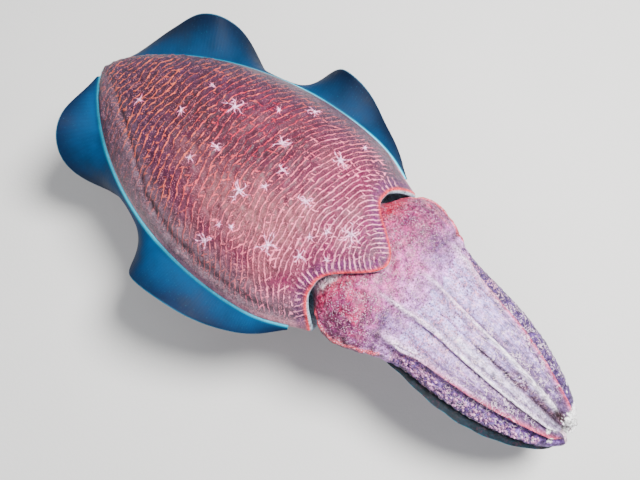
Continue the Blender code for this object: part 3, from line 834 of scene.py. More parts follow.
def eye_material():
    """Glossy eye: a pale speckled iris round a dark bent slit."""
    graph = Graph("eye_surface")
    fine = graph.noise(1500.0, 4.0, 0.6)
    flecks = graph.span(graph.cells(1300.0), 0.40, 0.15)
    colour = graph.shaded_tint("tint", graph.span(fine, 0.2, 0.8, 0.7, 1.3))
    colour = graph.mix(flecks * 0.10, colour, EYE_COLOURS["fleck"])
    roughness = graph.span(fine, 0.3, 0.7, 0.16, 0.26)
    return graph.finish(colour, roughness, fine, 0.00006, coat=1.0, coat_roughness=0.03)


def stand_material():
    """Dark powder-coated metal with a fine orange-peel texture and slight wear."""
    graph = Graph("stand_coating")
    grain, cloud = graph.noise(1600.0, 4.0, 0.6), graph.noise(24.0, 4.0, 0.6)
    specks = graph.span(graph.cells(900.0), 0.2, 0.08)
    colour = graph.mix(graph.span(cloud, 0.3, 0.7), *STAND_COLOURS)
    colour = graph.mix(specks * 0.25, colour, STAND_SPECK_COLOUR)
    return graph.finish(colour, graph.span(cloud, 0.3, 0.7, 0.42, 0.56), grain + specks * 0.4, 0.00012)


def floor_material():
    """Pale matt studio floor."""
    graph = Graph("floor_surface")
    grain = graph.noise(420.0, 3.0)
    colour = graph.mix(graph.span(graph.noise(3.0, 4.0), 0.3, 0.7), *FLOOR_COLOURS)
    return graph.finish(colour, graph.span(grain, 0.2, 0.8, 0.75, 0.9), grain, 0.0002, specular=0.2)


# Mantle


def egg(share, peak, power, reach):
    """An egg's outline: 0 at the tail, 1 at its peak, and still open at a share of 1."""
    fall = power * reach / peak - power
    return (share / peak) ** power * ((reach - share) / (reach - peak)) ** fall


def mantle_half_width(share):
    return MANTLE_HALF_WIDTH * egg(share, **OUTLINE_EGG)


def mantle_top(share):
    return MANTLE_RISE * egg(share, **BACK_EGG)


def mantle_bottom(share):
    return MANTLE_DEPTH * egg(share, **BELLY_EGG)


def root_plane(share):
    """Height of the fins' root, which rises a little towards the tail."""
    return BODY_HEIGHT + TAIL_LIFT * (1.0 - share) ** 2


def edge_pull(share):
    """How far a section is drawn from a plain cut towards the mantle's free edge."""
    return smooth_step((share - EDGE_FROM_SHARE) / (1.0 - EDGE_FROM_SHARE)) ** 1.3


def free_edge(across, upper):
    """Where along the body the mantle's edge lies, for shares across from -1 to 1."""
    across = np.abs(across)
    lobe = 0.5 * (1 + np.cos(math.pi * np.minimum(across / LOBE_SHARE, 1)))
    corner = np.clip((across - CORNER_SHARE) / (1 - CORNER_SHARE), 0, 1) ** 1.7
    back = RECESS_AT + (LOBE_AT - RECESS_AT) * lobe + (CORNER_AT - RECESS_AT) * corner
    belly = CORNER_AT - (CORNER_AT - BELLY_EDGE_AT) * 0.5 * (1 + np.cos(math.pi * across))
    return np.where(upper, back, belly)


def mantle_ring(share, angles, upper):
    """The mantle's outer section where its back is at this share of its length."""
    across = np.sign(np.sin(angles)) * np.abs(np.sin(angles)) ** SIDE_FULLNESS
    lift = np.abs(np.cos(angles))
    rise = (mantle_top(share) - FIN_SEAT_HALF) * lift**BACK_ROUNDNESS
    fall = (mantle_bottom(share) - FIN_SEAT_HALF) * lift**BELLY_ROUNDNESS
    height = np.where(upper, FIN_SEAT_HALF + rise, -FIN_SEAT_HALF - fall)
    along = MANTLE_LENGTH * share + (free_edge(across, upper) - MANTLE_LENGTH) * edge_pull(share)
    return np.stack([mantle_half_width(share) * across, TAIL_Y - along, root_plane(share) + height], axis=1)


def even_angles(first, last, count, upper):
    """Angles that space the points of a middle section evenly."""
    fine = np.linspace(first, last, 6001)
    ring = mantle_ring(0.6, fine, np.full(len(fine), upper))
    length = np.concatenate([[0], np.cumsum(np.linalg.norm(np.diff(ring, axis=0), axis=1))])
    return np.interp(np.linspace(0, length[-1], count), length, fine)


def grid_normals(grid):
    """Directions out of a grid of points that closes round its columns."""
    across = np.roll(grid, -1, axis=1) - np.roll(grid, 1, axis=1)
    return unit(np.cross(across, np.gradient(grid, axis=0)))


class Raster:
    """A flat map over the back, of places across and along the body."""

    def __init__(self):
        self.across = np.arange(RASTER_FROM[0], RASTER_TO[0], RASTER_STEP)
        self.along = np.arange(RASTER_FROM[1], RASTER_TO[1], RASTER_STEP)
        self.x, self.s = np.meshgrid(self.across, self.along, indexing="ij")

    def sample(self, values, x, s):
        """Values of the map at the given places."""
        u = np.clip((x - RASTER_FROM[0]) / RASTER_STEP, 0, len(self.across) - 1.001)
        v = np.clip((s - RASTER_FROM[1]) / RASTER_STEP, 0, len(self.along) - 1.001)
        i, j = u.astype(int), v.astype(int)
        a, b = u - i, v - j
        if values.ndim == 3:
            a, b = a[..., None], b[..., None]
        low = values[i, j] * (1 - a) + values[i + 1, j] * a
        high = values[i, j + 1] * (1 - a) + values[i + 1, j + 1] * a
        return low * (1 - b) + high * b


def edge_map(raster):
    """For each place on the back, the distance to the free edge and the way to it."""
    across = np.linspace(-1, 1, 401)
    edge = np.stack([mantle_half_width(1.0) * across, free_edge(across, True)], axis=1)
    spots = np.stack([raster.x.ravel(), raster.s.ravel()], axis=1)
    distance, way = [], []
    for block in np.array_split(spots, 40):
        gap = edge[None, :, :] - block[:, None, :]
        length = np.linalg.norm(gap, axis=2)
        nearest = length.argmin(axis=1)
        rows = np.arange(len(block))
        distance.append(length[rows, nearest])
        way.append(gap[rows, nearest] / np.maximum(length[rows, nearest], 1e-9)[:, None])
    shape = raster.x.shape
    return np.concatenate(distance).reshape(shape), np.concatenate(way).reshape(*shape, 2)


def line_angle(x, s, edge_distance, edge_way):
    """Which way the lines run at each place, in radians from straight across the body."""
    angle = np.radians(from_table(LINE_BEND, s)) * np.clip(x / 0.075, -1, 1)
    ahead = np.arctan2(edge_way[..., 1], edge_way[..., 0])
    near = bell(edge_distance, 0.013)
    return np.angle((1 - near) * np.exp(2j * angle) + near * np.exp(2j * ahead)) / 2


def wave_map(raster, edge_distance, edge_way, seed, turn, spacing_scale):
    """A rippling wave over the back whose crests follow the lines, branching where they must."""
    draw = np.random.default_rng(seed)
    across, along = (np.arange(low, high, KERNEL_STEP) for low, high in zip(RASTER_FROM, RASTER_TO))
    spots = np.stack(np.meshgrid(across, along, indexing="ij"), axis=-1).reshape(-1, 2)
    spots = spots + draw.uniform(-KERNEL_JITTER, KERNEL_JITTER, spots.shape) * KERNEL_STEP
    distance = raster.sample(edge_distance, spots[:, 0], spots[:, 1])
    way = raster.sample(edge_way, spots[:, 0], spots[:, 1])
    angle = line_angle(spots[:, 0], spots[:, 1], distance, way) + turn
    angle = angle + 0.16 * soft_noise(spots, 0.03, seed + 1)
    rate = 2 * math.pi / (from_table(LINE_SPACING, spots[:, 1]) * spacing_scale)
    vector = rate[:, None] * np.stack([-np.sin(angle), np.cos(angle)], axis=1)
    phase = draw.uniform(0, 2 * math.pi, len(spots))
    gap = spots[:, None, :] - spots[None, :, :]
    weight = np.exp(-(gap**2).sum(axis=2) / (2 * KERNEL_REACH**2))
    np.fill_diagonal(weight, 0.0)
    travel = np.einsum("ijk,jk->ij", gap, vector)
    linked = (weight * np.exp(1j * travel)).astype(np.complex64)
    for _ in range(KERNEL_ROUNDS):
        wanted = np.angle(linked @ np.exp(1j * phase).astype(np.complex64))
        chosen = draw.random(len(spots)) < 0.5
        phase = np.where(chosen, wanted, phase)
    total = np.zeros(raster.x.shape, complex)
    reach = int(3 * KERNEL_REACH / RASTER_STEP)
    for spot, way_vector, start in zip(spots, vector, phase):
        i = int((spot[0] - RASTER_FROM[0]) / RASTER_STEP)
        j = int((spot[1] - RASTER_FROM[1]) / RASTER_STEP)
        rows = slice(max(i - reach, 0), i + reach + 1)
        columns = slice(max(j - reach, 0), j + reach + 1)
        dx, ds = raster.x[rows, columns] - spot[0], raster.s[rows, columns] - spot[1]
        near = np.exp(-(dx**2 + ds**2) / (2 * KERNEL_REACH**2))
        total[rows, columns] += near * np.exp(1j * (way_vector[0] * dx + way_vector[1] * ds + start))
    return total / np.abs(total).mean()


def mantle_tints(x, s, share, upper, edge):
    """Colours of the mantle's skin, with painted shade along the crease and over the left flank, and of the
    lines on it, with the crease's strength and place.
    """
    spots = np.stack([x, s], axis=1)
    half = mantle_half_width(share)
    across = np.abs(x) / np.maximum(half, 1e-6)
    right = x < 0
    crease = np.where(right, from_table(CREASE_STATIONS, share), LEFT_CREASE_SHARE)
    strong = np.where(right, 1.0, LEFT_CREASE_STRENGTH)
    dark = smooth_step(soft_noise(spots, 0.028, 11) * 0.9 + 0.1)
    tint = blend(colour_stops(BACK_COLOURS, s), BACK_PATCH_COLOURS["dark"], 0.30 * dark)
    ragged = spots + 0.004 * np.stack([soft_noise(spots, 0.012, seed) for seed in (15, 16)], axis=1)
    for place, side, reach, kind, strength in BACK_PATCHES:
        near = bell(np.hypot(ragged[:, 0] - side, ragged[:, 1] - place), reach)
        tint = blend(tint, BACK_PATCH_COLOURS[kind], strength * near)
    pale = smooth_step(soft_noise(spots, 0.042, 12) - 0.1) * rising(s, 0.10, 0.06)
    flank = smooth_step((across - crease + np.where(right, 0.24, 0.20)) / np.where(right, 0.32, 0.16))
    from_crease = (across - crease) * half
    tail_rim = falling((1 - across) * half, 0.0029, 0.0009) * falling(s, 0.016, 0.005)
    tint = paint(
        tint,
        (BACK_PATCH_COLOURS["pale"], 0.25 * pale),
        (blend(TAIL_FLANK_COLOUR, FLANK_COLOUR, rising(s, 0.05, 0.10)), 0.75 * flank),
        # painted shade along the crease
        (CREASE_SHADE_COLOUR, strong * (0.50 * bell(from_crease, 0.0018) + 0.25 * bell(from_crease, 0.0060))),
        # painted shade over the left flank
        (LEFT_FLANK_SHADE_COLOUR, 0.7 * rising(across, 0.50, 0.35) * (x > 0)),
        (RIM_COLOUR, rising(across, 0.965, 0.03)),
        (FIN_COLOURS[0][1], 0.9 * tail_rim),
    )
    belly = blend(BELLY_COLOUR, RIM_COLOUR, 0.5 + 0.5 * soft_noise(spots, 0.05, 13))
    tint = np.where(upper[:, None], tint, blend(tint, belly, falling(across, 0.985, 0.06)))
    crimson = rising(x, -0.012, 0.02) * bell(s - 0.132, 0.050) * (across < 0.75)
    crimson = crimson * smooth_step(soft_noise(spots, 0.016, 17) + 0.65)
    comb = bell(edge - COMB_AT, COMB_WIDTH) * upper
    line = paint(
        colour_stops(LINE_COLOURS, s + 0.012 * soft_noise(spots, 0.05, 14)),
        (CRIMSON_LINE_COLOUR, 0.95 * crimson),
        (FLANK_LINE_COLOUR, 0.8 * rising(across, 0.55, 0.3) * falling(s, 0.23, 0.05)),
        (COMB_LINE_COLOUR, 0.60 * comb),
        (EDGE_COLOUR, bell(edge, 0.0016)),
    )
    tint = paint(tint, (COMB_GROUND_COLOUR, 0.65 * comb), (EDGE_COLOUR, bell(edge, 0.0009) * upper))
    return tint, line, strong, crease, across


def mantle_grid():
    """The mantle's skin as rings, over its rim and into its opening, and what each point belongs to."""
    back = even_angles(-math.pi / 2, math.pi / 2, BACK_COLUMNS, True)
    under = even_angles(math.pi / 2, 3 * math.pi / 2, BELLY_COLUMNS, False)
    angles = np.concatenate([back, under])
    upper = np.repeat([True, False], [BACK_COLUMNS, BELLY_COLUMNS])
    shares = FIRST_SHARE + (1 - FIRST_SHARE) * np.linspace(0, 1, MANTLE_ROWS) ** MANTLE_CROWDING
    rings = [mantle_ring(share, angles, upper) for share in shares]
    middle = np.array([0.0, 0.0, root_plane(1.0)])
    half_height = np.where(upper, mantle_top(1.0), mantle_bottom(1.0))
    front = rings[-1]

    def inset(depth):
        ring = front - middle
        ring[:, 0] *= 1 - depth / mantle_half_width(1.0)
        ring[:, 2] *= 1 - 0.8 * depth / half_height
        return ring + middle

    for turn in np.linspace(0, math.pi, RIM_ROWS + 2)[1:-1]:
        ring = inset(WALL * 0.5 * (1 - math.cos(turn)))
        ring[:, 1] -= EDGE_ROUNDING * math.sin(turn)
        rings.append(ring)
    lip = inset(WALL)
    for depth in np.linspace(0.0, 1.0, CAVITY_ROWS) ** 1.3:
        narrow = 1 - CAVITY_TAPER * depth
        ring = (lip - middle) * np.array([narrow, 1.0, narrow]) + middle
        ring[:, 1] = lip[:, 1] * (1 - depth) + (TAIL_Y - CAVITY_FLOOR_AT) * depth
        rings.append(ring)
    grid = np.array(rings)
    rows, columns = grid.shape[:2]
    share = np.repeat(np.concatenate([shares, np.ones(rows - MANTLE_ROWS)]), columns)
    past_rim = np.repeat(np.clip(np.arange(rows) - MANTLE_ROWS + 1, 0, None), columns)
    return grid, share, np.tile(upper, rows), past_rim


def build_mantle_skin(material):
    """The whole skin of the body sac, over its rim and down into its opening."""
    grid, share, on_back, past_rim = mantle_grid()
    outside = (past_rim == 0).astype(float)
    flat = grid.reshape(-1, 3)
    x, s = flat[:, 0], TAIL_Y - flat[:, 1]
    spots = np.stack([x, s], axis=1)

    raster = Raster()
    distance, way = edge_map(raster)
    edge = raster.sample(distance, x, s) * outside
    edge = np.where(on_back, edge, 0.02 * outside)
    waves = [wave_map(raster, distance, way, *choice) for choice in WAVE_CHOICES]
    wave, web = (raster.sample(values, x, s) for values in waves)

    tint, line, strong, crease, across = mantle_tints(x, s, share, on_back, edge)
    tint = blend(tint, CAVITY_COLOUR, rising(past_rim, 0.6, 2.2))
    beyond = smooth_step((across - crease + np.where(x < 0, 0.02, 0.12)) / 0.07)
    bare = 0.55 + 0.40 * np.clip((s - 0.07) / 0.06, 0.0, 1.0)
    lined = on_back * outside * (1 - bare * beyond)
    lined = lined * rising(share, 0.01, 0.04) * falling(across, 0.985, 0.03)
    strength = lined * rising(np.abs(wave), 0.15, 0.4)
    weave = (lined * rising(s, 0.13, 0.09) * 0.9 + lined * 0.6) * (1 - bell(edge, 0.010))

    crease_gap = (across - crease) * mantle_half_width(share)
    fold = outside * on_back * strong * rising(share, 0.06, 0.08)
    inner = outside * falling(across, 0.97, 0.1)
    lift = (
        LINE_RELIEF * strength * np.clip(wave.real / np.maximum(np.abs(wave), 1e-6), 0, 1) ** 2
        - CREASE_DEPTH * bell(crease_gap, CREASE_WIDTH) * fold
        + 0.0005 * bell(crease_gap - 2.2 * CREASE_WIDTH, CREASE_WIDTH) * fold
        + 0.0004 * soft_noise(spots, 0.011, 21) * inner
        + 0.00022 * soft_noise(spots, 0.0045, 22) * inner * on_back
        + 0.0004 * bell(edge - 0.0008, 0.0009) * outside * on_back
    )
    normal = grid_normals(grid).reshape(-1, 3)
    if np.mean(normal[on_back & (outside > 0.5), 2]) < 0:
        normal = -normal

    points, faces = loft((flat + normal * lift[:, None]).reshape(grid.shape))
    mesh = plain_mesh("skin_mantle", points, faces)
    ends = np.stack([tint[: grid.shape[1]].mean(axis=0), CAVITY_COLOUR])
    set_layer(mesh, "tint", "colour", np.concatenate([tint, ends]))
    set_layer(mesh, "line_tint", "colour", np.concatenate([line, ends]))
    for name, crests, amount in (("wave", wave, strength), ("web", web, weave)):
        ripple = crests / np.maximum(np.abs(crests), 1e-6)
        set_layer(mesh, name, "vector", np.stack([ripple.real, ripple.imag, amount], axis=1))
    grain = outside * (0.65 + 0.35 * beyond * (x < 0))
    breadth = rising(s, 0.165, 0.05) * (across < 0.85) + 1.1 * bell(edge - COMB_AT, COMB_WIDTH)
    set_layer(mesh, "grain", "number", grain)
    set_layer(mesh, "breadth", "number", breadth)
    return add_piece(mesh, material, ("mantle",))


def surface_tree(mesh):
    faces = [tuple(face.vertices) for face in mesh.polygons]
    return BVHTree.FromPolygons([point.co for point in mesh.vertices], faces)


def drop_to(tree, x, y):
    """The point and the way out of the surface below a place."""
    hit = tree.ray_cast(Vector((x, y, HEIGHT_ABOVE)), Vector((0, 0, -1)))
    return (np.array(hit[0]), np.array(hit[1])) if hit[0] is not None else (None, None)


def ray_tube(tree, start, heading, reach, radius, draw, split):
    """A tapered ridge that wanders over the skin from a papilla, and may fork."""
    spot, angle, tubes, path = np.array(start), heading, [], []
    for k in range(RAY_STEPS):
        place, out = drop_to(tree, spot[0], spot[1])
        if place is None:
            break
        path.append((place, out))
        angle += draw.normal(0, RAY_WANDER)
        spot = spot + reach / RAY_STEPS * np.array([math.cos(angle), math.sin(angle)])
        if split and k == RAY_STEPS // 2:
            turn = draw.choice([-1, 1]) * draw.uniform(0.6, 1.0)
            tubes += ray_tube(tree, spot, angle + turn, reach * 0.5, radius * 0.62, draw, False)
            angle -= turn * 0.4
    if len(path) < 4:
        return tubes
    centre, out = (np.array([row[k] for row in path]) for k in (0, 1))
    across = np.cross(unit(np.gradient(centre, axis=0)), out)
    share = np.linspace(0, 1, len(path))
    thick = radius * (1 - share) ** 0.75 + RAY_TIP
    points, faces = tube(centre - out * thick[:, None] * 0.25, thick, across, out, RAY_SIDES)
    far = np.concatenate([np.repeat(share, RAY_SIDES), [0.0, 1.0]])
    pale, middle, deep = STAR_COLOURS
    colour = paint(pale, (middle, smooth_step(far * 1.6)), (deep, smooth_step((far - 0.45) * 1.8)))
    return [*tubes, (points, faces, colour)]


def build_stars(tree, material):
    """Branching star-shaped papillae standing on the back."""
    draw = np.random.default_rng(31)
    dome = turned_profile(STAR_DOME, STAR_DOME_SIDES)
    parts = []
    for along, across, reach in STARS:
        start = (across, TAIL_Y - along)
        place, out = drop_to(tree, *start)
        count = int(round(4 + reach * 450 + draw.integers(0, 2)))
        first = draw.uniform(0, 2 * math.pi)
        for k in range(count):
            heading = first + 2 * math.pi * (k + draw.uniform(-0.28, 0.28)) / count
            length = reach * draw.uniform(0.65, 1.40)
            radius, split = 0.00046 + 0.024 * reach, reach > STAR_FORK_REACH
            parts += ray_tube(tree, start, heading, length, radius, draw, split)
        height = 0.0005 + 0.10 * reach
        points, faces = stamp(dome, [place], [out], [0.0005 + 0.085 * reach], [height], int(along * 1e4))
        parts.append((points, faces, STAR_COLOURS[0]))
    points, faces, colours = join_parts(parts)
    mesh = plain_mesh("back_papillae", points, faces)
    set_layer(mesh, "tint", "colour", colours)
    return add_piece(mesh, material)


# Fins


def fin_root(along, side):
    """A point of the fin's seat on the mantle, and the level direction out from it."""

    def seat(place):
        share = np.clip(place / MANTLE_LENGTH, FIRST_SHARE, 1.0)
        ahead = MANTLE_LENGTH * share + (CORNER_AT - MANTLE_LENGTH) * edge_pull(share)
        return np.array([side * mantle_half_width(share), TAIL_Y - ahead, root_plane(share)])

    step = 0.0008
    forward = seat(along + step) - seat(max(along - step, 0.0))
    return seat(along), unit(side * np.array([-forward[1], forward[0], 0.0]))


def fin_section(along, side, swing, widths, steps):
    """Upper and lower points across the fin at one place, curving up or down to its edge."""
    root, out = fin_root(along, side)
    width = float(widths(along))
    angle = math.radians(float(swing(along)))
    middle = [root - out * FIN_OVERLAP, root]
    for near, far in zip(steps[:-1], steps[1:]):
        turn = angle * (FIN_ROOT_SWING + (1 - FIN_ROOT_SWING) * math.sqrt((near + far) / 2))
        way = out * math.cos(turn) + np.array([0.0, 0.0, math.sin(turn)])
        middle.append(middle[-1] + way * width * (far - near))
    middle = np.array(middle)
    share = np.concatenate([[0.0], steps])
    forward = np.cross(out, [0.0, 0.0, 1.0])
    normal = unit(np.cross(np.gradient(middle, axis=0), forward))
    normal *= np.sign(normal[0, 2])
    half = 0.5 * (FIN_EDGE_THICKNESS + (FIN_ROOT_THICKNESS - FIN_EDGE_THICKNESS) * (1 - share) ** 2)
    flare = 0.5 * FIN_ROOT_FLARE * np.exp(-share * width / FIN_FLARE_REACH)
    half = half + flare * min(1.0, width / 0.02)
    half[-1] *= 0.25
    half[-2] *= 0.8
    return middle + normal * half[:, None], middle - normal * half[:, None], share * width


def build_fins(material):
    """Both rippling fins, each one sheet from the tail to the front corner."""
    parts, all_bars = [], []
    steps = np.linspace(0, 1, FIN_COLUMNS) ** 0.92
    shares = np.concatenate([[0.0], steps])
    places = FIN_START_AT + (FIN_END_AT - FIN_START_AT) * np.linspace(0, 1, FIN_ROWS) ** 1.1
    widths = station_curve(FIN_WIDTHS, 1)
    for word, side in SIDES.items():
        swing = station_curve(FIN_SWINGS[word], 1)
        sections = [fin_section(place, side, swing, widths, steps) for place in places]
        rings = np.array([np.concatenate([top, low[::-1]]) for top, low, _ in sections])
        share = np.tile(np.concatenate([shares, shares[::-1]]), len(places))
        out = np.array([np.concatenate([far, far[::-1]]) for _, _, far in sections]).ravel()
        along = np.repeat(places, rings.shape[1])
        tone = share + 0.10 * soft_noise(np.stack([along, out], axis=1), 0.05, 41 + side)
        tint = paint(
            # deep blue partly painted water, darkened on each side by painted shade
            colour_stops(FIN_COLOURS, np.clip(tone, 0.11, 0.955)) * FIN_SIDE_SHADES[word],
            (FIN_COLOURS[0][1], bell(out, 0.0013)),
            (FIN_COLOURS[-1][1], 0.7 * rising(share, 0.975, 0.02)),
        )
        parts.append((*loft(rings), np.concatenate([tint, tint[:1], tint[-1:]])))
        bars = np.stack([along * 2 * math.pi / FIN_BAR_SPACING, share, out], axis=1)
        all_bars.append(np.concatenate([bars, np.zeros((2, 3))]))
    points, faces, colours = join_parts(parts)
    mesh = plain_mesh("skin_fins", points, faces)
    set_layer(mesh, "tint", "colour", colours)
    set_layer(mesh, "bars", "vector", np.concatenate(all_bars))
    nodes = [f"fin_{word}_{length}" for word in FIN_SWINGS for length in ("rear", "middle", "front")]
    return add_piece(mesh, material, nodes)


# Head and arms


sway = station_curve(SWAY_STATIONS, 1)
HEAD_CURVES = [station_curve(HEAD_STATIONS, k) for k in (1, 2, 3)]
CROWN_CURVES = [station_curve(CROWN_STATIONS, k) for k in (1, 2, 3)]


def signed_power(value, power):
    return np.sign(value) * np.abs(value) ** power


def head_section(along, angles):
    """The head's section: broad above, with a mound over each eye, and narrower under the lids."""
    half_width, top, bottom = (float(curve(along)) for curve in HEAD_CURVES)
    lift = np.cos(angles)
    near_eye = bell(along - EYE_AT, LOBE_LENGTH)
    x = half_width * signed_power(np.sin(angles), 0.9)
    x = x * (1 - UNDERCUT * near_eye * smooth_step(-3.0 * lift))
    brim = -LID_OVERHANG * near_eye
    z = brim + np.where(lift >= 0, top - brim, bottom - brim) * np.abs(lift)
    z = z + LOBE_BULGE * near_eye * bell(np.abs(x) - LOBE_OUT, LOBE_REACH) * smooth_step(2.0 * lift)
    return np.stack([x + float(sway(along)), np.full_like(x, TAIL_Y - along), BODY_HEIGHT + z], axis=1)


def crown_points(along, angle, share):
    """Points of the arm crown: angle from the back's midline, and share of the way out."""
    half_width, half_height, middle = (curve(along) for curve in CROWN_CURVES)
    x = sway(along) + half_width * share * np.sin(angle)
    z = middle + half_height * share * np.cos(angle)
    return np.stack(np.broadcast_arrays(x, TAIL_Y - along, BODY_HEIGHT + z), axis=-1)


def eye_centre(side):
    return np.array([side * EYE_OUT + float(sway(EYE_AT)), TAIL_Y - EYE_AT, BODY_HEIGHT + EYE_DROP])


def lid_path(side, lid, count):
    first, last, run, rise, out = LIDS[lid]
    sweep = np.radians(np.linspace(first, last, count))
    set_out = side * out * (1 - 0.28 * np.abs(np.cos(sweep)))
    shape = np.stack([set_out, run * np.cos(sweep), rise * np.sin(sweep)], axis=1)
    return eye_centre(side) + EYE_RADII * shape


def ridge_tube(path, radii, sides):
    """A tube along a path, with one side of its sections level."""
    forward = unit(np.gradient(path, axis=0))
    level = unit(np.cross(forward, [0.0, 0.0, 1.0]))
    return (*tube(path, radii, level, np.cross(level, forward), sides), np.zeros(3))


def lid_tube(side, lid):
    """The fold of skin along the upper or lower rim of one eye, with slight folds of its own."""
    path = lid_path(side, lid, LID_ROWS)
    run = np.linspace(0, math.pi, len(path))
    radii = LID_RADIUS * (0.45 + 0.55 * np.sin(run)) * (1 + 0.07 * np.sin(run * 9))
    return ridge_tube(path, radii, LID_SIDES)


def brow_path(side):
    """The outer edge of the mound over one eye, from behind it to the arms' root."""
    places = np.linspace(*BROW_RUN, BROW_ROWS)
    angle = np.array([side * math.radians(BROW_ANGLE)])
    points = np.concatenate([head_section(along, angle) for along in places])
    points[:, 2] += 0.0004 * np.sin(places * 2 * math.pi / 0.0085)
    points[:, 0] += side * BROW_OUT
    return points


def brow_tube(side):
    """The raised rim along the outer edge of one mound."""
    path = brow_path(side)
    run = np.linspace(0, math.pi, len(path))
    radii = BROW_RADIUS * (0.35 + 0.65 * np.sin(run) ** 0.6) * (1 + 0.10 * np.sin(run * 11))
    return ridge_tube(path, radii, BROW_SIDES)


def siphon_part():
    """The funnel under the head, with its open mouth."""
    start = CAVITY_FLOOR_AT + 0.0003
    turn = circle(SIPHON_COLUMNS)

    def ring(along, scale=1.0):
        radius = np.interp((along - start) / (SIPHON_END_AT - start), [0, 0.55, 1], SIPHON_RADII)
        height = BODY_HEIGHT + float(HEAD_CURVES[2](along)) - 0.0006 - radius
        x = SIPHON_BREADTH * radius * scale * np.cos(turn)
        z = height + radius * scale * np.sin(turn)
        return np.stack([x, np.full_like(x, TAIL_Y - along), z], axis=1)

    mouth = 1 - SIPHON_WALL / SIPHON_RADII[-1]
    rings = [ring(along) for along in np.linspace(start, SIPHON_END_AT, SIPHON_ROWS)]
    for part in (0.25, 0.5, 0.75):
        rings.append(ring(SIPHON_END_AT + 0.0006 * math.sin(math.pi * part), 1 + (mouth - 1) * part))
    for depth in np.linspace(0, 1, 8):
        rings.append(ring(SIPHON_END_AT - SIPHON_BORE_DEPTH * depth, mouth * (1 - 0.3 * depth)))
    points, faces = loft(rings)
    inside = rising(np.arange(len(rings)), SIPHON_ROWS + 1, 4).repeat(SIPHON_COLUMNS)
    points[:-2, 2] -= 0.00018 * np.sin((TAIL_Y - points[:-2, 1]) * 2 * math.pi / 0.0045) * (1 - inside)
    tint = blend(SIPHON_COLOUR, CAVITY_COLOUR, inside)
    return points, faces, np.concatenate([tint, [SIPHON_COLOUR, CAVITY_COLOUR]])


def keel_path(side, number, along):
    """Degrees of one keel's line at each place."""
    _, root, tip, _ = KEELS[side][number]
    share = np.clip((along - ARMS_AT) / (ARM_TIPS[number] - ARMS_AT), 0, 1)
    inward = 0.15 * bell(along - 0.290, 0.017) if number else 0.0
    return (root + (tip - root) * share) * (1 - inward)


def keel_width(side, number, along):
    """Half width of a keel's ridge: the upper ones broaden towards the tips, the lower at their roots."""
    upper = 0.6 * bell(along - 0.398, 0.030) * (side == "left") + 0.6 * bell(along - 0.308, 0.024)
    broad = 1.5 * bell(along - 0.304, 0.020) if number else upper
    return KEEL_WIDTH * (1.0 + broad)


def keel_lift(along, angle, radius):
    """Height of the keels' ridges, and how strongly each of the two colours shows."""
    lift = np.zeros(len(along))
    shown = np.zeros((2, len(along)))
    for side in KEELS:
        for number, (start, _, _, height) in enumerate(KEELS[side]):
            gap = np.radians(angle - keel_path(side, number, along)) * radius
            grow = rising(along, start, 0.026) * falling(along, ARM_TIPS[number], 0.006)
            width = keel_width(side, number, along)
            swell = 1 + 0.9 * bell(along - 0.308, 0.014)
            hollow = bell(np.abs(gap) - 2.5 * width, 1.4 * width)
            lift = lift + height * grow * (swell * bell(gap, width) - KEEL_HOLLOW * hollow)
            shown[number] = np.maximum(shown[number], bell(gap, width * 0.9) * grow)
    return lift, shown


def keel_tints(tint, along, shown, share):
    """The keels' colours: pale above, and below lilac at their roots and red from there on."""
    upper = blend(KEEL_ROOT_COLOUR, KEEL_COLOURS[0], rising(along, 0.325, 0.04))
    lower = blend(KEEL_ROOT_COLOUR, KEEL_COLOURS[1], rising(along, 0.312, 0.035))
    return paint(tint, (upper, 0.9 * shown[0] * share), (lower, 0.85 * shown[1] * share))


def around_crown(points):
    """Place along, degrees from the back's midline and radius for points near the arms."""
    along = TAIL_Y - points[:, 1]
    reach = np.maximum(along, ARMS_AT)
    half_width, half_height, middle = (curve(reach) for curve in CROWN_CURVES)
    across = (points[:, 0] - sway(along)) / half_width
    over = (points[:, 2] - BODY_HEIGHT - middle) / half_height
    return along, np.degrees(np.arctan2(across, over)), 0.5 * (half_width + half_height)


def fold_line(along, off_middle):
    """Where the fold runs between each mound and the arms' root."""
    fold_at = 0.2905 + 0.22 * (off_middle - 0.033)
    return bell(along - fold_at, 0.0022) * rising(off_middle, 0.018, 0.012)


def gap_to_path(points, path, close):
    """Distance of the close points from a path, and a long way for all others."""
    gap = np.full(len(points), 1.0)
    gap[close] = np.linalg.norm(points[close][:, None, :] - path[None, :, :], axis=2).min(axis=1)
    return gap


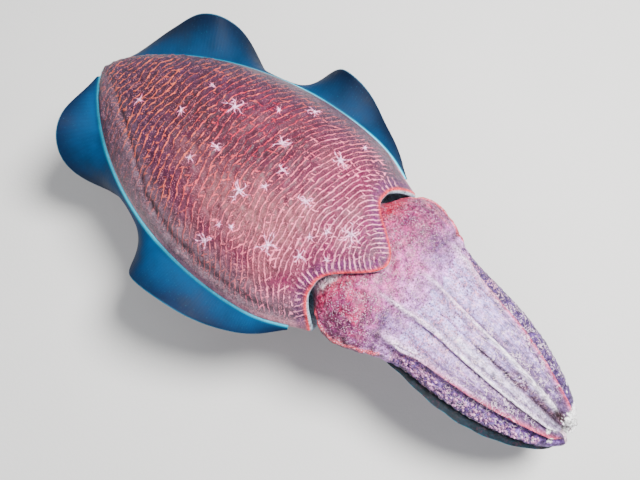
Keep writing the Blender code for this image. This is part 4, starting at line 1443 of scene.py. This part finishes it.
def head_tints(points):
    """Colours of the head's skin, with painted shade in the folds behind the mounds and under the mounds'
    rims.
    """
    along = TAIL_Y - points[:, 1]
    x, z = points[:, 0] - sway(along), points[:, 2] - BODY_HEIGHT
    off_middle, above, upper = np.abs(x), z > 0, z > -0.004
    ragged = along + 0.005 * soft_noise(points, 0.012, 51) + 0.10 * off_middle * (along > 0.25) - 0.0055
    lobe = bell(along - EYE_AT, 0.017) * rising(off_middle, 0.022, 0.014)
    flecks = smooth_step(soft_noise(points, 0.009, 53) - 0.2) * (along > 0.25) * (1 - lobe)
    tint = paint(
        colour_stops(HEAD_COLOURS, np.where(along < 0.25, along, ragged)),
        (LOBE_COLOUR, 0.90 * lobe),
        (LOBE_PATCH_COLOUR, 0.55 * lobe * smooth_step(soft_noise(points, 0.011, 52))),
        (HEAD_FLECK_COLOUR, 0.3 * flecks),
    )
    tint = tint * (1 + 0.24 * np.clip(soft_noise(points, 0.0065, 57), -1, 1) * upper)[:, None]
    speckle = smooth_step(1.3 * soft_noise(points, 0.0034, 55) + 0.1) * rising(along, 0.244, 0.004)
    layers = [
        (HEAD_PATCH_COLOURS["mauve"], 0.32 * speckle * upper),
        # painted shade in the fold between each mound and the arms' root
        (DEEP_SHADE_COLOUR, 0.72 * fold_line(along, off_middle) * above),
    ]
    shift = 0.0016 * soft_noise(points, 0.006, 54)
    for place, beside, reach, kind, strength in HEAD_PATCHES:
        near = bell(np.hypot(points[:, 0] - beside + shift, along - place + shift), reach) * above
        layers.append((HEAD_PATCH_COLOURS[kind], strength * near))
    for side in SIDES.values():
        path = brow_path(side)
        close = (points[:, 0] * side > 0.025) & (along > 0.240) & (along < 0.306)
        near = gap_to_path(points, path[::2], close)
        under_brow = z < np.interp(along, TAIL_Y - path[::-1, 1], path[::-1, 2]) - BODY_HEIGHT
        # painted shade under the mound's rim
        layers.append((DEEP_SHADE_COLOUR, 0.8 * bell(near - 0.0034, 0.0016) * under_brow))
        layers.append((LID_COLOUR, 0.9 * falling(near, 0.0024, 0.0010)))
    patch = bell(along - 0.2475, 0.0055) * bell(off_middle - 0.046, 0.009) * (z > -0.008)
    layers.append((RECESS_PATCH_COLOUR, 0.65 * patch))
    under = falling(z, -0.006, 0.010) * falling(along, 0.315, 0.02) * (along > 0.236)
    layers.append((UNDER_HEAD_COLOUR, 0.85 * under))
    for side in SIDES.values():
        close = (points[:, 0] * side > 0.025) & (np.abs(along - EYE_AT) < 0.028)
        for lid, strength in LID_TINT_STRENGTHS.items():
            near = gap_to_path(points, lid_path(side, lid, 40), close)
            layers.append((LID_COLOUR, strength * falling(near, 0.0036, 0.0012)))
    return paint(tint, *layers)


def fused_head():
    """Points, faces and directions out of the head, its lids, its brows and the collar over the arms."""
    turn = circle(HEAD_COLUMNS)
    places = np.linspace(CAVITY_FLOOR_AT + 0.0004, ARMS_AT, HEAD_ROWS)
    rings = [head_section(along, turn) for along in places]
    for along in np.linspace(ARMS_AT, COLLAR_TO, COLLAR_ROWS)[1:]:
        sink = COLLAR_SINK * smooth_step((along - ARMS_AT + 0.004) / (COLLAR_TO - ARMS_AT + 0.004))
        rings.append(crown_points(along, turn, 1.004 - sink))
    parts = [(*loft(rings), np.zeros(3))]
    parts += [lid_tube(side, lid) for side in SIDES.values() for lid in LIDS]
    parts += [brow_tube(side) for side in SIDES.values()]
    points, faces, _ = join_parts(parts)
    form = put_in_scene("head_form", plain_mesh("head_form", points, faces))
    remesh = form.modifiers.new("Fuse", "REMESH")
    remesh.mode = "VOXEL"
    remesh.voxel_size = HEAD_VOXEL
    smooth = form.modifiers.new("Soften", "SMOOTH")
    smooth.factor = 0.5
    smooth.iterations = 5
    graph = bpy.context.evaluated_depsgraph_get()
    fused = bpy.data.meshes.new_from_object(form.evaluated_get(graph))
    bpy.data.objects.remove(form)
    faces = [np.array([tuple(face.vertices) for face in fused.polygons])]
    return mesh_rows(fused, "co"), faces, mesh_rows(fused, "normal")


def head_part():
    """The head's skin, with its colours."""
    points, faces, normals = fused_head()
    along, angle, radius = around_crown(points)
    upper = rising(normals[:, 2], -0.1, 0.3)
    keels, shown = keel_lift(along, angle, radius)
    on_head = rising(along, 0.240, 0.006) * falling(along, 0.345, 0.02)
    off_middle = np.abs(points[:, 0] - sway(along))
    lift = (
        keels * upper
        + 0.00045 * soft_noise(points, 0.0085, 61) * on_head
        + 0.00022 * soft_noise(points, 0.0036, 62) * on_head
        - MIDDLE_DIP * bell(off_middle, 0.015) * bell(along - 0.272, 0.013) * upper
        + MOUND_RISE * bell(off_middle - 0.042, 0.015) * bell(along - 0.268, 0.014) * upper
        - FOLD_DEPTH * fold_line(along, off_middle) * upper
    )
    crown = arm_tints(along, angle, radius, points, np.ones(len(points)))
    tint = blend(head_tints(points), crown, rising(along, 0.300, 0.020))
    tint = blend(tint, arm_lines(tint, along, angle, radius), falling(along, 0.310, 0.010) * upper)
    return points + normals * lift[:, None], faces, keel_tints(tint, along, shown, upper)


def arm_edge(side, number, along):
    root, tip = ARM_EDGES[side][number]
    share = np.clip((along - ARMS_AT) / (ARM_TIPS[-1] - ARMS_AT), 0, 1)
    return root + (tip - root) * share


def tip_marks(points):
    """How strongly the white marks show near the arms' tips, and the hollow there, dented and given painted
    shade.
    """
    along = TAIL_Y - points[:, 1]
    ragged = 0.0007 * soft_noise(points, 0.0028, 76)
    white = rising(along + 2.5 * ragged, WHITE_ENDS_FROM, 0.0012) * rising(points[:, 0], -0.006, 0.004)
    for place, across, reach in TIP_MARKS:
        gap = np.hypot(along - place, points[:, 0] - across) + ragged
        white = np.maximum(white, falling(gap, reach, 0.0009))
    place, across, reach = TIP_HOLLOW
    return white, bell(np.hypot((along - place) * 0.6, points[:, 0] - across), reach)


def arm_lines(tint, along, angle, radius):
    """Shading beside the keels, and a shadow below the lower ones."""
    run = rising(along, 0.284, 0.05)
    for side, sign in SIDES.items():
        for number in (0, 1):
            gap = np.radians(angle - keel_path(side, number, along)) * radius * sign
            width = keel_width(side, number, along)
            tint = blend(tint, ARM_SHADE_COLOUR, 0.80 * bell(np.abs(gap) - 2.2 * width, 0.8 * width) * run)
        shadow = rising(gap, 0.0012, 0.0006) * falling(gap, 0.0052, 0.0022)
        shadow = shadow * rising(along, 0.300, 0.012) * falling(along, 0.428, 0.02)
        # painted shadow below the lower keel
        tint = blend(tint, DEEP_SHADE_COLOUR, KEEL_SHADOWS[side] * shadow)
    return tint


def arm_groove_shade(points, along, angle, radius):
    """How strongly painted shade darkens each place, in the grooves between the arms."""
    grooves = np.zeros(len(along))
    breaks = 0.5 * soft_noise(points, 0.007, 75)
    for side in ARM_EDGES:
        for number, (start, depth, breadth, whole) in enumerate(GROOVE_SHADES):
            gap = np.radians(angle - arm_edge(side, number, along)) * radius
            width = (0.0006 + 0.0008 * rising(along, start, 0.07)) * breadth
            dark = depth * np.clip(whole + breaks, 0.2, 1) * bell(gap, width) * rising(along, start, 0.03)
            grooves = np.maximum(grooves, dark)
    return grooves


def arm_tints(along, angle, radius, points, outer):
    """Colours of the arms: pale and streaked above, mottled at the sides, with painted shade in the grooves
    and a dark band, partly painted shade, along the lower sides.
    """
    from_middle, off = np.abs(angle - CROWN_MIDDLE), np.abs(angle)
    run = rising(along, 0.330, 0.07)
    streak = soft_noise(np.stack([np.radians(angle) * 0.035, along * 0.16], axis=1), 0.0026, 71)
    valleys = bell(angle - 17, 7) + bell(angle + 34, 6)
    clouds = smooth_step(0.9 * soft_noise(points, 0.012, 78) + 0.3)
    mottle = soft_noise(points, 0.0032, 72)
    middle, pale, deep = BAND_COLOURS
    band = paint(
        middle,
        (pale, smooth_step(mottle + 0.2)),
        (deep, 0.8 * smooth_step(-mottle)),
        # painted shade that darkens the band on the animal's left, the side that the key light faces
        (deep, 0.55 * (angle > 0)),
    )
    tint = paint(
        ARM_COLOUR,
        (ARM_PINK_COLOUR, np.clip(0.30 + 0.50 * streak, 0, 1)),
        (ARM_SHADE_COLOUR, np.clip(-0.9 * streak, 0, 0.75) * run),
        (ARM_SHADE_COLOUR, 0.24 * rising(along, 0.352, 0.07)),
        (ARM_SHADE_COLOUR, 0.46 * rising(along, 0.388, 0.035)),
        (ARM_PINK_COLOUR, 0.35 * falling(angle, -18, 12) * rising(along, 0.31, 0.03)),
        (ARM_SHADE_COLOUR, 0.55 * falling(angle, -25.5, 3) * rising(along, 0.350, 0.045)),
        (ARM_SHADE_COLOUR, (0.42 * valleys + 0.34 * clouds) * run),
        (ARM_PALE_COLOUR, 0.7 * bell(angle + 15, 5.5) * rising(along, 0.315, 0.03)),
        (band, rising(from_middle, np.interp(along, [ARMS_AT, 0.43], [50, 34]), 10)),
    )
    wrinkled = bell(angle + 4, 4.5) * smooth_step(soft_noise(points, 0.0034, 77) + 0.4)
    tint = paint(
        arm_lines(tint, along, angle, radius),
        (UNDER_HEAD_COLOUR, 0.7 * rising(from_middle, 100, 14)),
        # dark band on the arms' lower sides: the membrane's colour with painted shade
        (SHADED_MEMBRANE_COLOUR, 0.92 * rising(off, 82, 6) * falling(off, 116, 8) * rising(along, 0.306, 0.014)),
        (WRINKLE_COLOUR, 0.9 * wrinkled * rising(along, 0.362, 0.03)),
        # painted shade in the grooves between the arms
        (DEEP_SHADE_COLOUR, arm_groove_shade(points, along, angle, radius)),
    )
    return blend(blend(SUCKER_COLOUR, ARM_PINK_COLOUR, 0.3), tint, outer)


def membrane_part(side):
    """The thin swimming membrane along the outer edge of the lowest arm."""
    sign = SIDES[side]
    places = np.linspace(*MEMBRANE_RUN, MEMBRANE_ROWS)
    run = np.linspace(0, math.pi, len(places))
    widths = MEMBRANE_WIDTH * np.sin(run) ** 0.5 * (1 + 0.04 * np.sin(run * 13))
    drop = math.radians(MEMBRANE_DROPS[side])
    heading = np.array([sign * math.cos(drop), 0.0, -math.sin(drop)])
    lift = np.array([math.sin(drop) * sign, 0.0, math.cos(drop)])
    roots = crown_points(places, sign * math.radians(MEMBRANE_ANGLE), 0.98)
    turn = circle(MEMBRANE_SIDES)
    out = 0.5 + 0.5 * np.cos(turn)
    thick = MEMBRANE_THICKNESS * np.sin(turn) * (1 - 0.65 * out)
    rings = [
        root + np.outer(out * width - 0.0010, heading) + np.outer(thick, lift)
        for root, width in zip(roots, widths)
    ]
    edge = np.concatenate([np.tile(out, len(rings)), [0.0, 0.0]])
    # the membrane's colour is darkened with painted shade
    return (*loft(rings), blend(SHADED_MEMBRANE_COLOUR, FIN_COLOURS[0][1], 0.25 * rising(edge, 0.95, 0.05)))


def arm_turns(power):
    """Turns round an arm's section, closer together over its outer face."""
    fine = np.linspace(-math.pi, math.pi, 8001)
    across, out = signed_power(np.sin(fine), power) * 1.6, signed_power(np.cos(fine), power) * 0.8
    step = np.hypot(np.diff(across), np.diff(out))
    outer = (out[1:] + out[:-1]) / 2 > 0
    outer_weight = step / step[outer].sum() * ARM_OUTER_COLUMNS
    inner_weight = step / step[~outer].sum() * ARM_INNER_COLUMNS
    length = np.concatenate([[0], np.cumsum(np.where(outer, outer_weight, inner_weight))])
    return np.interp(np.arange(ARM_OUTER_COLUMNS + ARM_INNER_COLUMNS) + 0.5, length, fine)


def tip_taper(along, tip_at, share=TIP_TAPER_SHARE):
    """1 along most of an arm, and down to 0 at its tip."""
    left = np.clip((tip_at - along) / (tip_at - ARMS_AT), 0, 1)
    return np.minimum(1.0, left / share) ** 0.5


def arm_part(side, number):
    """One arm from under the head's collar to its tip."""
    tip_at, power, sign = ARM_TIPS[number], ARM_SQUARENESS[number], SIDES[side]
    places = ARMS_AT - 0.006 + (tip_at - ARMS_AT + 0.0057) * np.linspace(0, 1, ARM_ROWS) ** 0.92
    along, turn = (part.ravel() for part in np.meshgrid(places, arm_turns(power), indexing="ij"))
    here = np.maximum(along, ARMS_AT)
    taper, spread = tip_taper(along, tip_at), tip_taper(along, tip_at, TIP_SPREAD_SHARE)
    first, last = (np.radians(arm_edge(side, number + k, along)) for k in (0, 1))
    half_width, half_height = CROWN_CURVES[0](here), CROWN_CURVES[1](here)
    radius = 0.5 * (half_width + half_height)
    reach = 0.5 * (last - first) * sign + ARM_OVERLAP / np.minimum(half_width, half_height)
    angle = 0.5 * (first + last) + sign * reach * spread * signed_power(np.sin(turn), power)
    degrees = np.degrees(angle)
    out = signed_power(np.cos(turn), power)
    outer = smooth_step(out * 1.4)
    on_face = outer * taper
    keels, shown = keel_lift(along, degrees, radius)
    bulge = 0.0006 * np.cos(0.5 * math.pi * np.clip(np.sin(turn), -1, 1)) * (number < 2)
    lift = (keels + bulge * rising(along, 0.32, 0.03) - 0.0004) * on_face
    edge_gap = np.abs(np.radians(degrees - arm_edge(side, number, along))) * radius
    if number == 0:
        lift = lift - MIDDLE_GROOVE_DEPTH * bell(edge_gap, 0.0011) * on_face * rising(along, 0.345, 0.03)
    if number == 2:
        lift = lift - BAND_STEPS[side] * bell(edge_gap, 0.005) * on_face
    share = ARM_CENTRE + ARM_HALF_THICK * taper * out + lift / radius
    points = crown_points(here, angle, share)
    points[:, 1] = TAIL_Y - along
    lumps = 0.00045 if number > 1 else 0.00018
    wrinkle = lumps * soft_noise(points, 0.0042, 81) * outer * falling(along, 0.438, 0.012)
    outward = points - crown_points(here, angle, 0.0)
    outward[:, 1] = 0
    white, hollow = tip_marks(points)
    wrinkle = wrinkle + (0.0003 * white - 0.0034 * hollow) * outer
    points = points + unit(outward) * wrinkle[:, None]
    tint = arm_tints(along, degrees, radius, points, smooth_step(out * 2.5 + 1.25))
    tint = keel_tints(tint, along, shown, outer)
    # painted shade in the hollow near the tips, and the white marks
    tint = paint(tint, (TIP_HOLLOW_SHADE_COLOUR, 1.5 * hollow * (1 - white)), (TIP_COLOUR, white))
    rings = points.reshape(ARM_ROWS, -1, 3)
    columns = rings.shape[1]
    ends = np.stack([tint[:columns].mean(axis=0), tint[-columns:].mean(axis=0)])
    return (*loft(rings), np.concatenate([tint, ends]))


def head_ticks(points):
    """How strongly fine curled marks show over the head and the arms."""
    along = TAIL_Y - points[:, 1]
    off_middle = np.abs(points[:, 0] - sway(along))
    mounds = 0.6 * rising(off_middle, 0.020, 0.015) * bell(along - 0.266, 0.020)
    head = 0.35 * rising(along, 0.244, 0.01) * falling(along, 0.300, 0.02)
    arms = 0.70 * rising(along, 0.300, 0.02) * falling(along, 0.424, 0.014)
    middle = bell(points[:, 0] - sway(along) + 0.003, 0.0045) * rising(along, 0.385, 0.02)
    return np.maximum(np.maximum(mounds, head), arms * (1 - middle))


def head_grain(points):
    """How strongly pale granules show: most on the mounds, least at the arms' tips."""
    along = TAIL_Y - points[:, 1]
    grain = 0.50 + 0.22 * bell(along - 0.278, 0.034) * (along > 0.24)
    grain = grain * (1 - 0.30 * smooth_step(points[:, 0] / 0.02) * (along < 0.31))
    return grain * (1 - 0.75 * rising(along, 0.385, 0.035))


def build_head_skin(material):
    """Head, siphon and the eight arms in one skin."""
    parts = [head_part(), siphon_part()]
    parts += [arm_part(side, number) for side in ARM_EDGES for number in range(4)]
    flesh = sum(len(part[0]) for part in parts)
    parts += [membrane_part(side) for side in ARM_EDGES]
    points, faces, colours = join_parts(parts)
    mesh = plain_mesh("skin_head_arms", points, faces)
    set_layer(mesh, "tint", "colour", colours)
    layers = {
        "ticks": head_ticks(points),
        "grain": head_grain(points),
        "streaks": rising(TAIL_Y - points[:, 1], 0.318, 0.05),
    }
    for name, values in layers.items():
        set_layer(mesh, name, "number", values * (np.arange(len(points)) < flesh))
    nodes = ["head", "siphon", *(f"arm_{side}_{k + 1}" for side in ARM_EDGES for k in range(4))]
    return add_piece(mesh, material, nodes)


def build_suckers(material):
    """Stalked cups in four rows down the inner face of each arm."""
    spots, axes, radii = [], [], []
    for side, number, (row, across) in product(ARM_EDGES, range(4), enumerate(SUCKER_ROWS)):
        tip_at = ARM_TIPS[number]
        for k in range(SUCKERS_IN_ROW):
            share = (k + 0.5 + 0.5 * (row % 2)) / (SUCKERS_IN_ROW + 0.6)
            along = np.array(ARMS_AT + 0.002 + (tip_at - ARMS_AT - 0.002) * share)
            taper = float(tip_taper(along, tip_at))
            first, last = (math.radians(float(arm_edge(side, number + j, along))) for j in (0, 1))
            angle = 0.5 * (first + last) + 0.5 * (last - first) * across * taper
            spot = crown_points(along, angle, ARM_CENTRE - ARM_HALF_THICK * taper)
            spots.append(spot)
            axes.append(unit(crown_points(along, angle, 0.0) - spot))
            radii.append(SUCKER_RADII[number] * (1 + (SUCKER_TIP_SCALE - 1) * share))
    radii = np.array(radii)
    cup = turned_profile(SUCKER_PROFILE, SUCKER_SIDES)
    points, faces = stamp(cup, spots, axes, radii, radii * 1.15, 91)
    mesh = plain_mesh("suckers", points, faces)
    tone = np.tile(np.concatenate([np.repeat(SUCKER_TONES, SUCKER_SIDES), [0, 1.0]]), len(radii))
    set_layer(mesh, "tint", "colour", blend(SUCKER_COLOUR, ARM_PINK_COLOUR * 0.5, tone))
    return add_piece(mesh, material)


def build_small_papillae(skin, material):
    """Small rounded papillae over the outer arms and the front of the head."""
    draw = np.random.default_rng(95)
    points, normals = mesh_rows(skin.data, "co"), mesh_rows(skin.data, "normal")
    along, angle, _ = around_crown(points)
    from_middle = np.abs(angle - CROWN_MIDDLE)
    limit = np.interp(along, [ARMS_AT, 0.43], [54, 40])
    centre_height = BODY_HEIGHT + CROWN_CURVES[2](np.maximum(along, ARMS_AT))
    out = points - np.stack([sway(along), points[:, 1], centre_height], axis=1)
    facing = (unit(out) * normals).sum(axis=1) > 0.55
    on_arm = (along > 0.308) & (along < 0.424) & (from_middle > limit) & (from_middle < 72) & facing
    on_head = (along > 0.256) & (along < 0.325) & (from_middle < 70) & (normals[:, 2] > 0.3)
    rows = []
    for chosen, (count, size) in ((on_arm, ARM_PAPILLAE), (on_head, HEAD_PAPILLAE)):
        picked = draw.choice(np.flatnonzero(chosen), count, replace=False)
        radii = size * draw.uniform(0.5, 1.25, count)
        shade = draw.uniform(0, 1, count)[:, None]
        tints = SMALL_PAPILLA_COLOURS[0] * shade + SMALL_PAPILLA_COLOURS[1] * (1 - shade)
        rows.append((points[picked], normals[picked], radii, tints))
    spots, axes, radii, tints = (np.concatenate(column) for column in zip(*rows))
    bump = turned_profile(SMALL_PAPILLA_PROFILE, SMALL_PAPILLA_SIDES)
    made, faces = stamp(bump, spots, axes, radii, radii * 1.5, 96)
    mesh = plain_mesh("small_papillae", made, faces)
    set_layer(mesh, "tint", "colour", np.repeat(tints, len(bump[0]), axis=0))
    return add_piece(mesh, material)


def build_eye(side, word, material):
    """One eye: pale iris with a dark slit bent like a W."""
    centre = eye_centre(side)
    turn = circle(EYE_COLUMNS)
    rings = []
    for polar in np.linspace(0.01, math.pi - 0.01, EYE_ROWS):
        level, upright = math.sin(polar) * np.cos(turn), math.sin(polar) * np.sin(turn)
        shape = np.stack([np.full_like(turn, side * math.cos(polar)), level, upright], axis=1)
        rings.append(centre + shape * EYE_RADII)
    points, faces = loft(rings)
    local = (points - centre) / EYE_RADII
    ahead, up, out = -local[:, 1], local[:, 2], local[:, 0] * side
    bent = -0.04 + 0.15 * np.cos(ahead / SLIT_HALF * 2 * math.pi) - 0.10 * np.abs(ahead) / SLIT_HALF
    slit = falling(np.abs(up - bent), 0.075, 0.02) * falling(np.abs(ahead), 0.55, 0.03)
    ring = np.hypot(ahead / 0.78, up / 0.66)
    iris = falling(ring, 1.0, 0.05) * (out >= 0)
    tint = paint(
        EYE_COLOURS["white"],
        (EYE_COLOURS["iris"], iris),
        (EYE_COLOURS["iris_edge"], iris * rising(ring, 0.72, 0.2)),
        (EYE_COLOURS["slit"], slit * iris),
    )
    mesh = plain_mesh(f"eye_{word}_detail", points, faces)
    set_layer(mesh, "tint", "colour", tint)
    return add_piece(mesh, material, (f"eye_{word}",))


# Stage


def finish_stand():
    coating = stand_material()
    for name in ("stand_base", "stand_rod_rear", "stand_rod_front"):
        for slot in bpy.data.objects[name].material_slots:
            slot.material = coating


def build_floor():
    mesh = bpy.data.meshes.new("floor")
    corners = ((-1, -1), (1, -1), (1, 1), (-1, 1))
    points = [(x * FLOOR_REACH, y * FLOOR_REACH, -FLOOR_DROP) for x, y in corners]
    mesh.from_pydata(points, [], [(0, 1, 2, 3)])
    mesh.materials.append(floor_material())
    floor = put_in_scene("floor", mesh)


def aim(obj, place, target):
    obj.location = place
    obj.rotation_euler = (Vector(target) - Vector(place)).to_track_quat("-Z", "Y").to_euler()


def add_light(name, place, size, power, colour):
    """A broad soft light aimed at the animal."""
    light = bpy.data.lights.new(name, "AREA")
    light.shape = "DISK"
    light.size = size
    light.energy = power
    light.color = colour
    aim(put_in_scene(name, light), place, CAMERA_TARGET)


def build_stage():
    build_floor()
    for light in LIGHTS:
        add_light(*light)
    world = bpy.data.worlds.new("studio")
    world.use_nodes = True
    glow = world.node_tree.nodes["Background"]
    glow.inputs["Color"].default_value = SKY_COLOUR
    glow.inputs["Strength"].default_value = SKY_STRENGTH
    bpy.context.scene.world = world


def build_camera():
    azimuth, elevation = math.radians(CAMERA_AZIMUTH), math.radians(CAMERA_ELEVATION)
    way = (
        math.sin(azimuth) * math.cos(elevation),
        -math.cos(azimuth) * math.cos(elevation),
        math.sin(elevation),
    )
    data = bpy.data.cameras.new("camera")
    data.lens = CAMERA_LENS
    data.sensor_width = CAMERA_SENSOR
    data.clip_start = 0.01
    camera = put_in_scene("camera", data)
    place = [at + CAMERA_DISTANCE * part for at, part in zip(CAMERA_TARGET, way)]
    aim(camera, place, CAMERA_TARGET)
    bpy.context.scene.camera = camera


build_camera()
build_stage()
finish_stand()
mantle = build_mantle_skin(skin_material("mantle_skin_surface", lined=True, granule="back"))
build_stars(surface_tree(mantle.data), skin_material("papilla_surface"))
build_fins(fin_material())
head_skin = build_head_skin(skin_material("head_skin_surface", contrast=1.55, granule="head"))
build_suckers(skin_material("sucker_surface"))
build_small_papillae(head_skin, skin_material("small_papilla_surface"))
for eye_word, eye_side in SIDES.items():
    build_eye(eye_side, eye_word, eye_material())
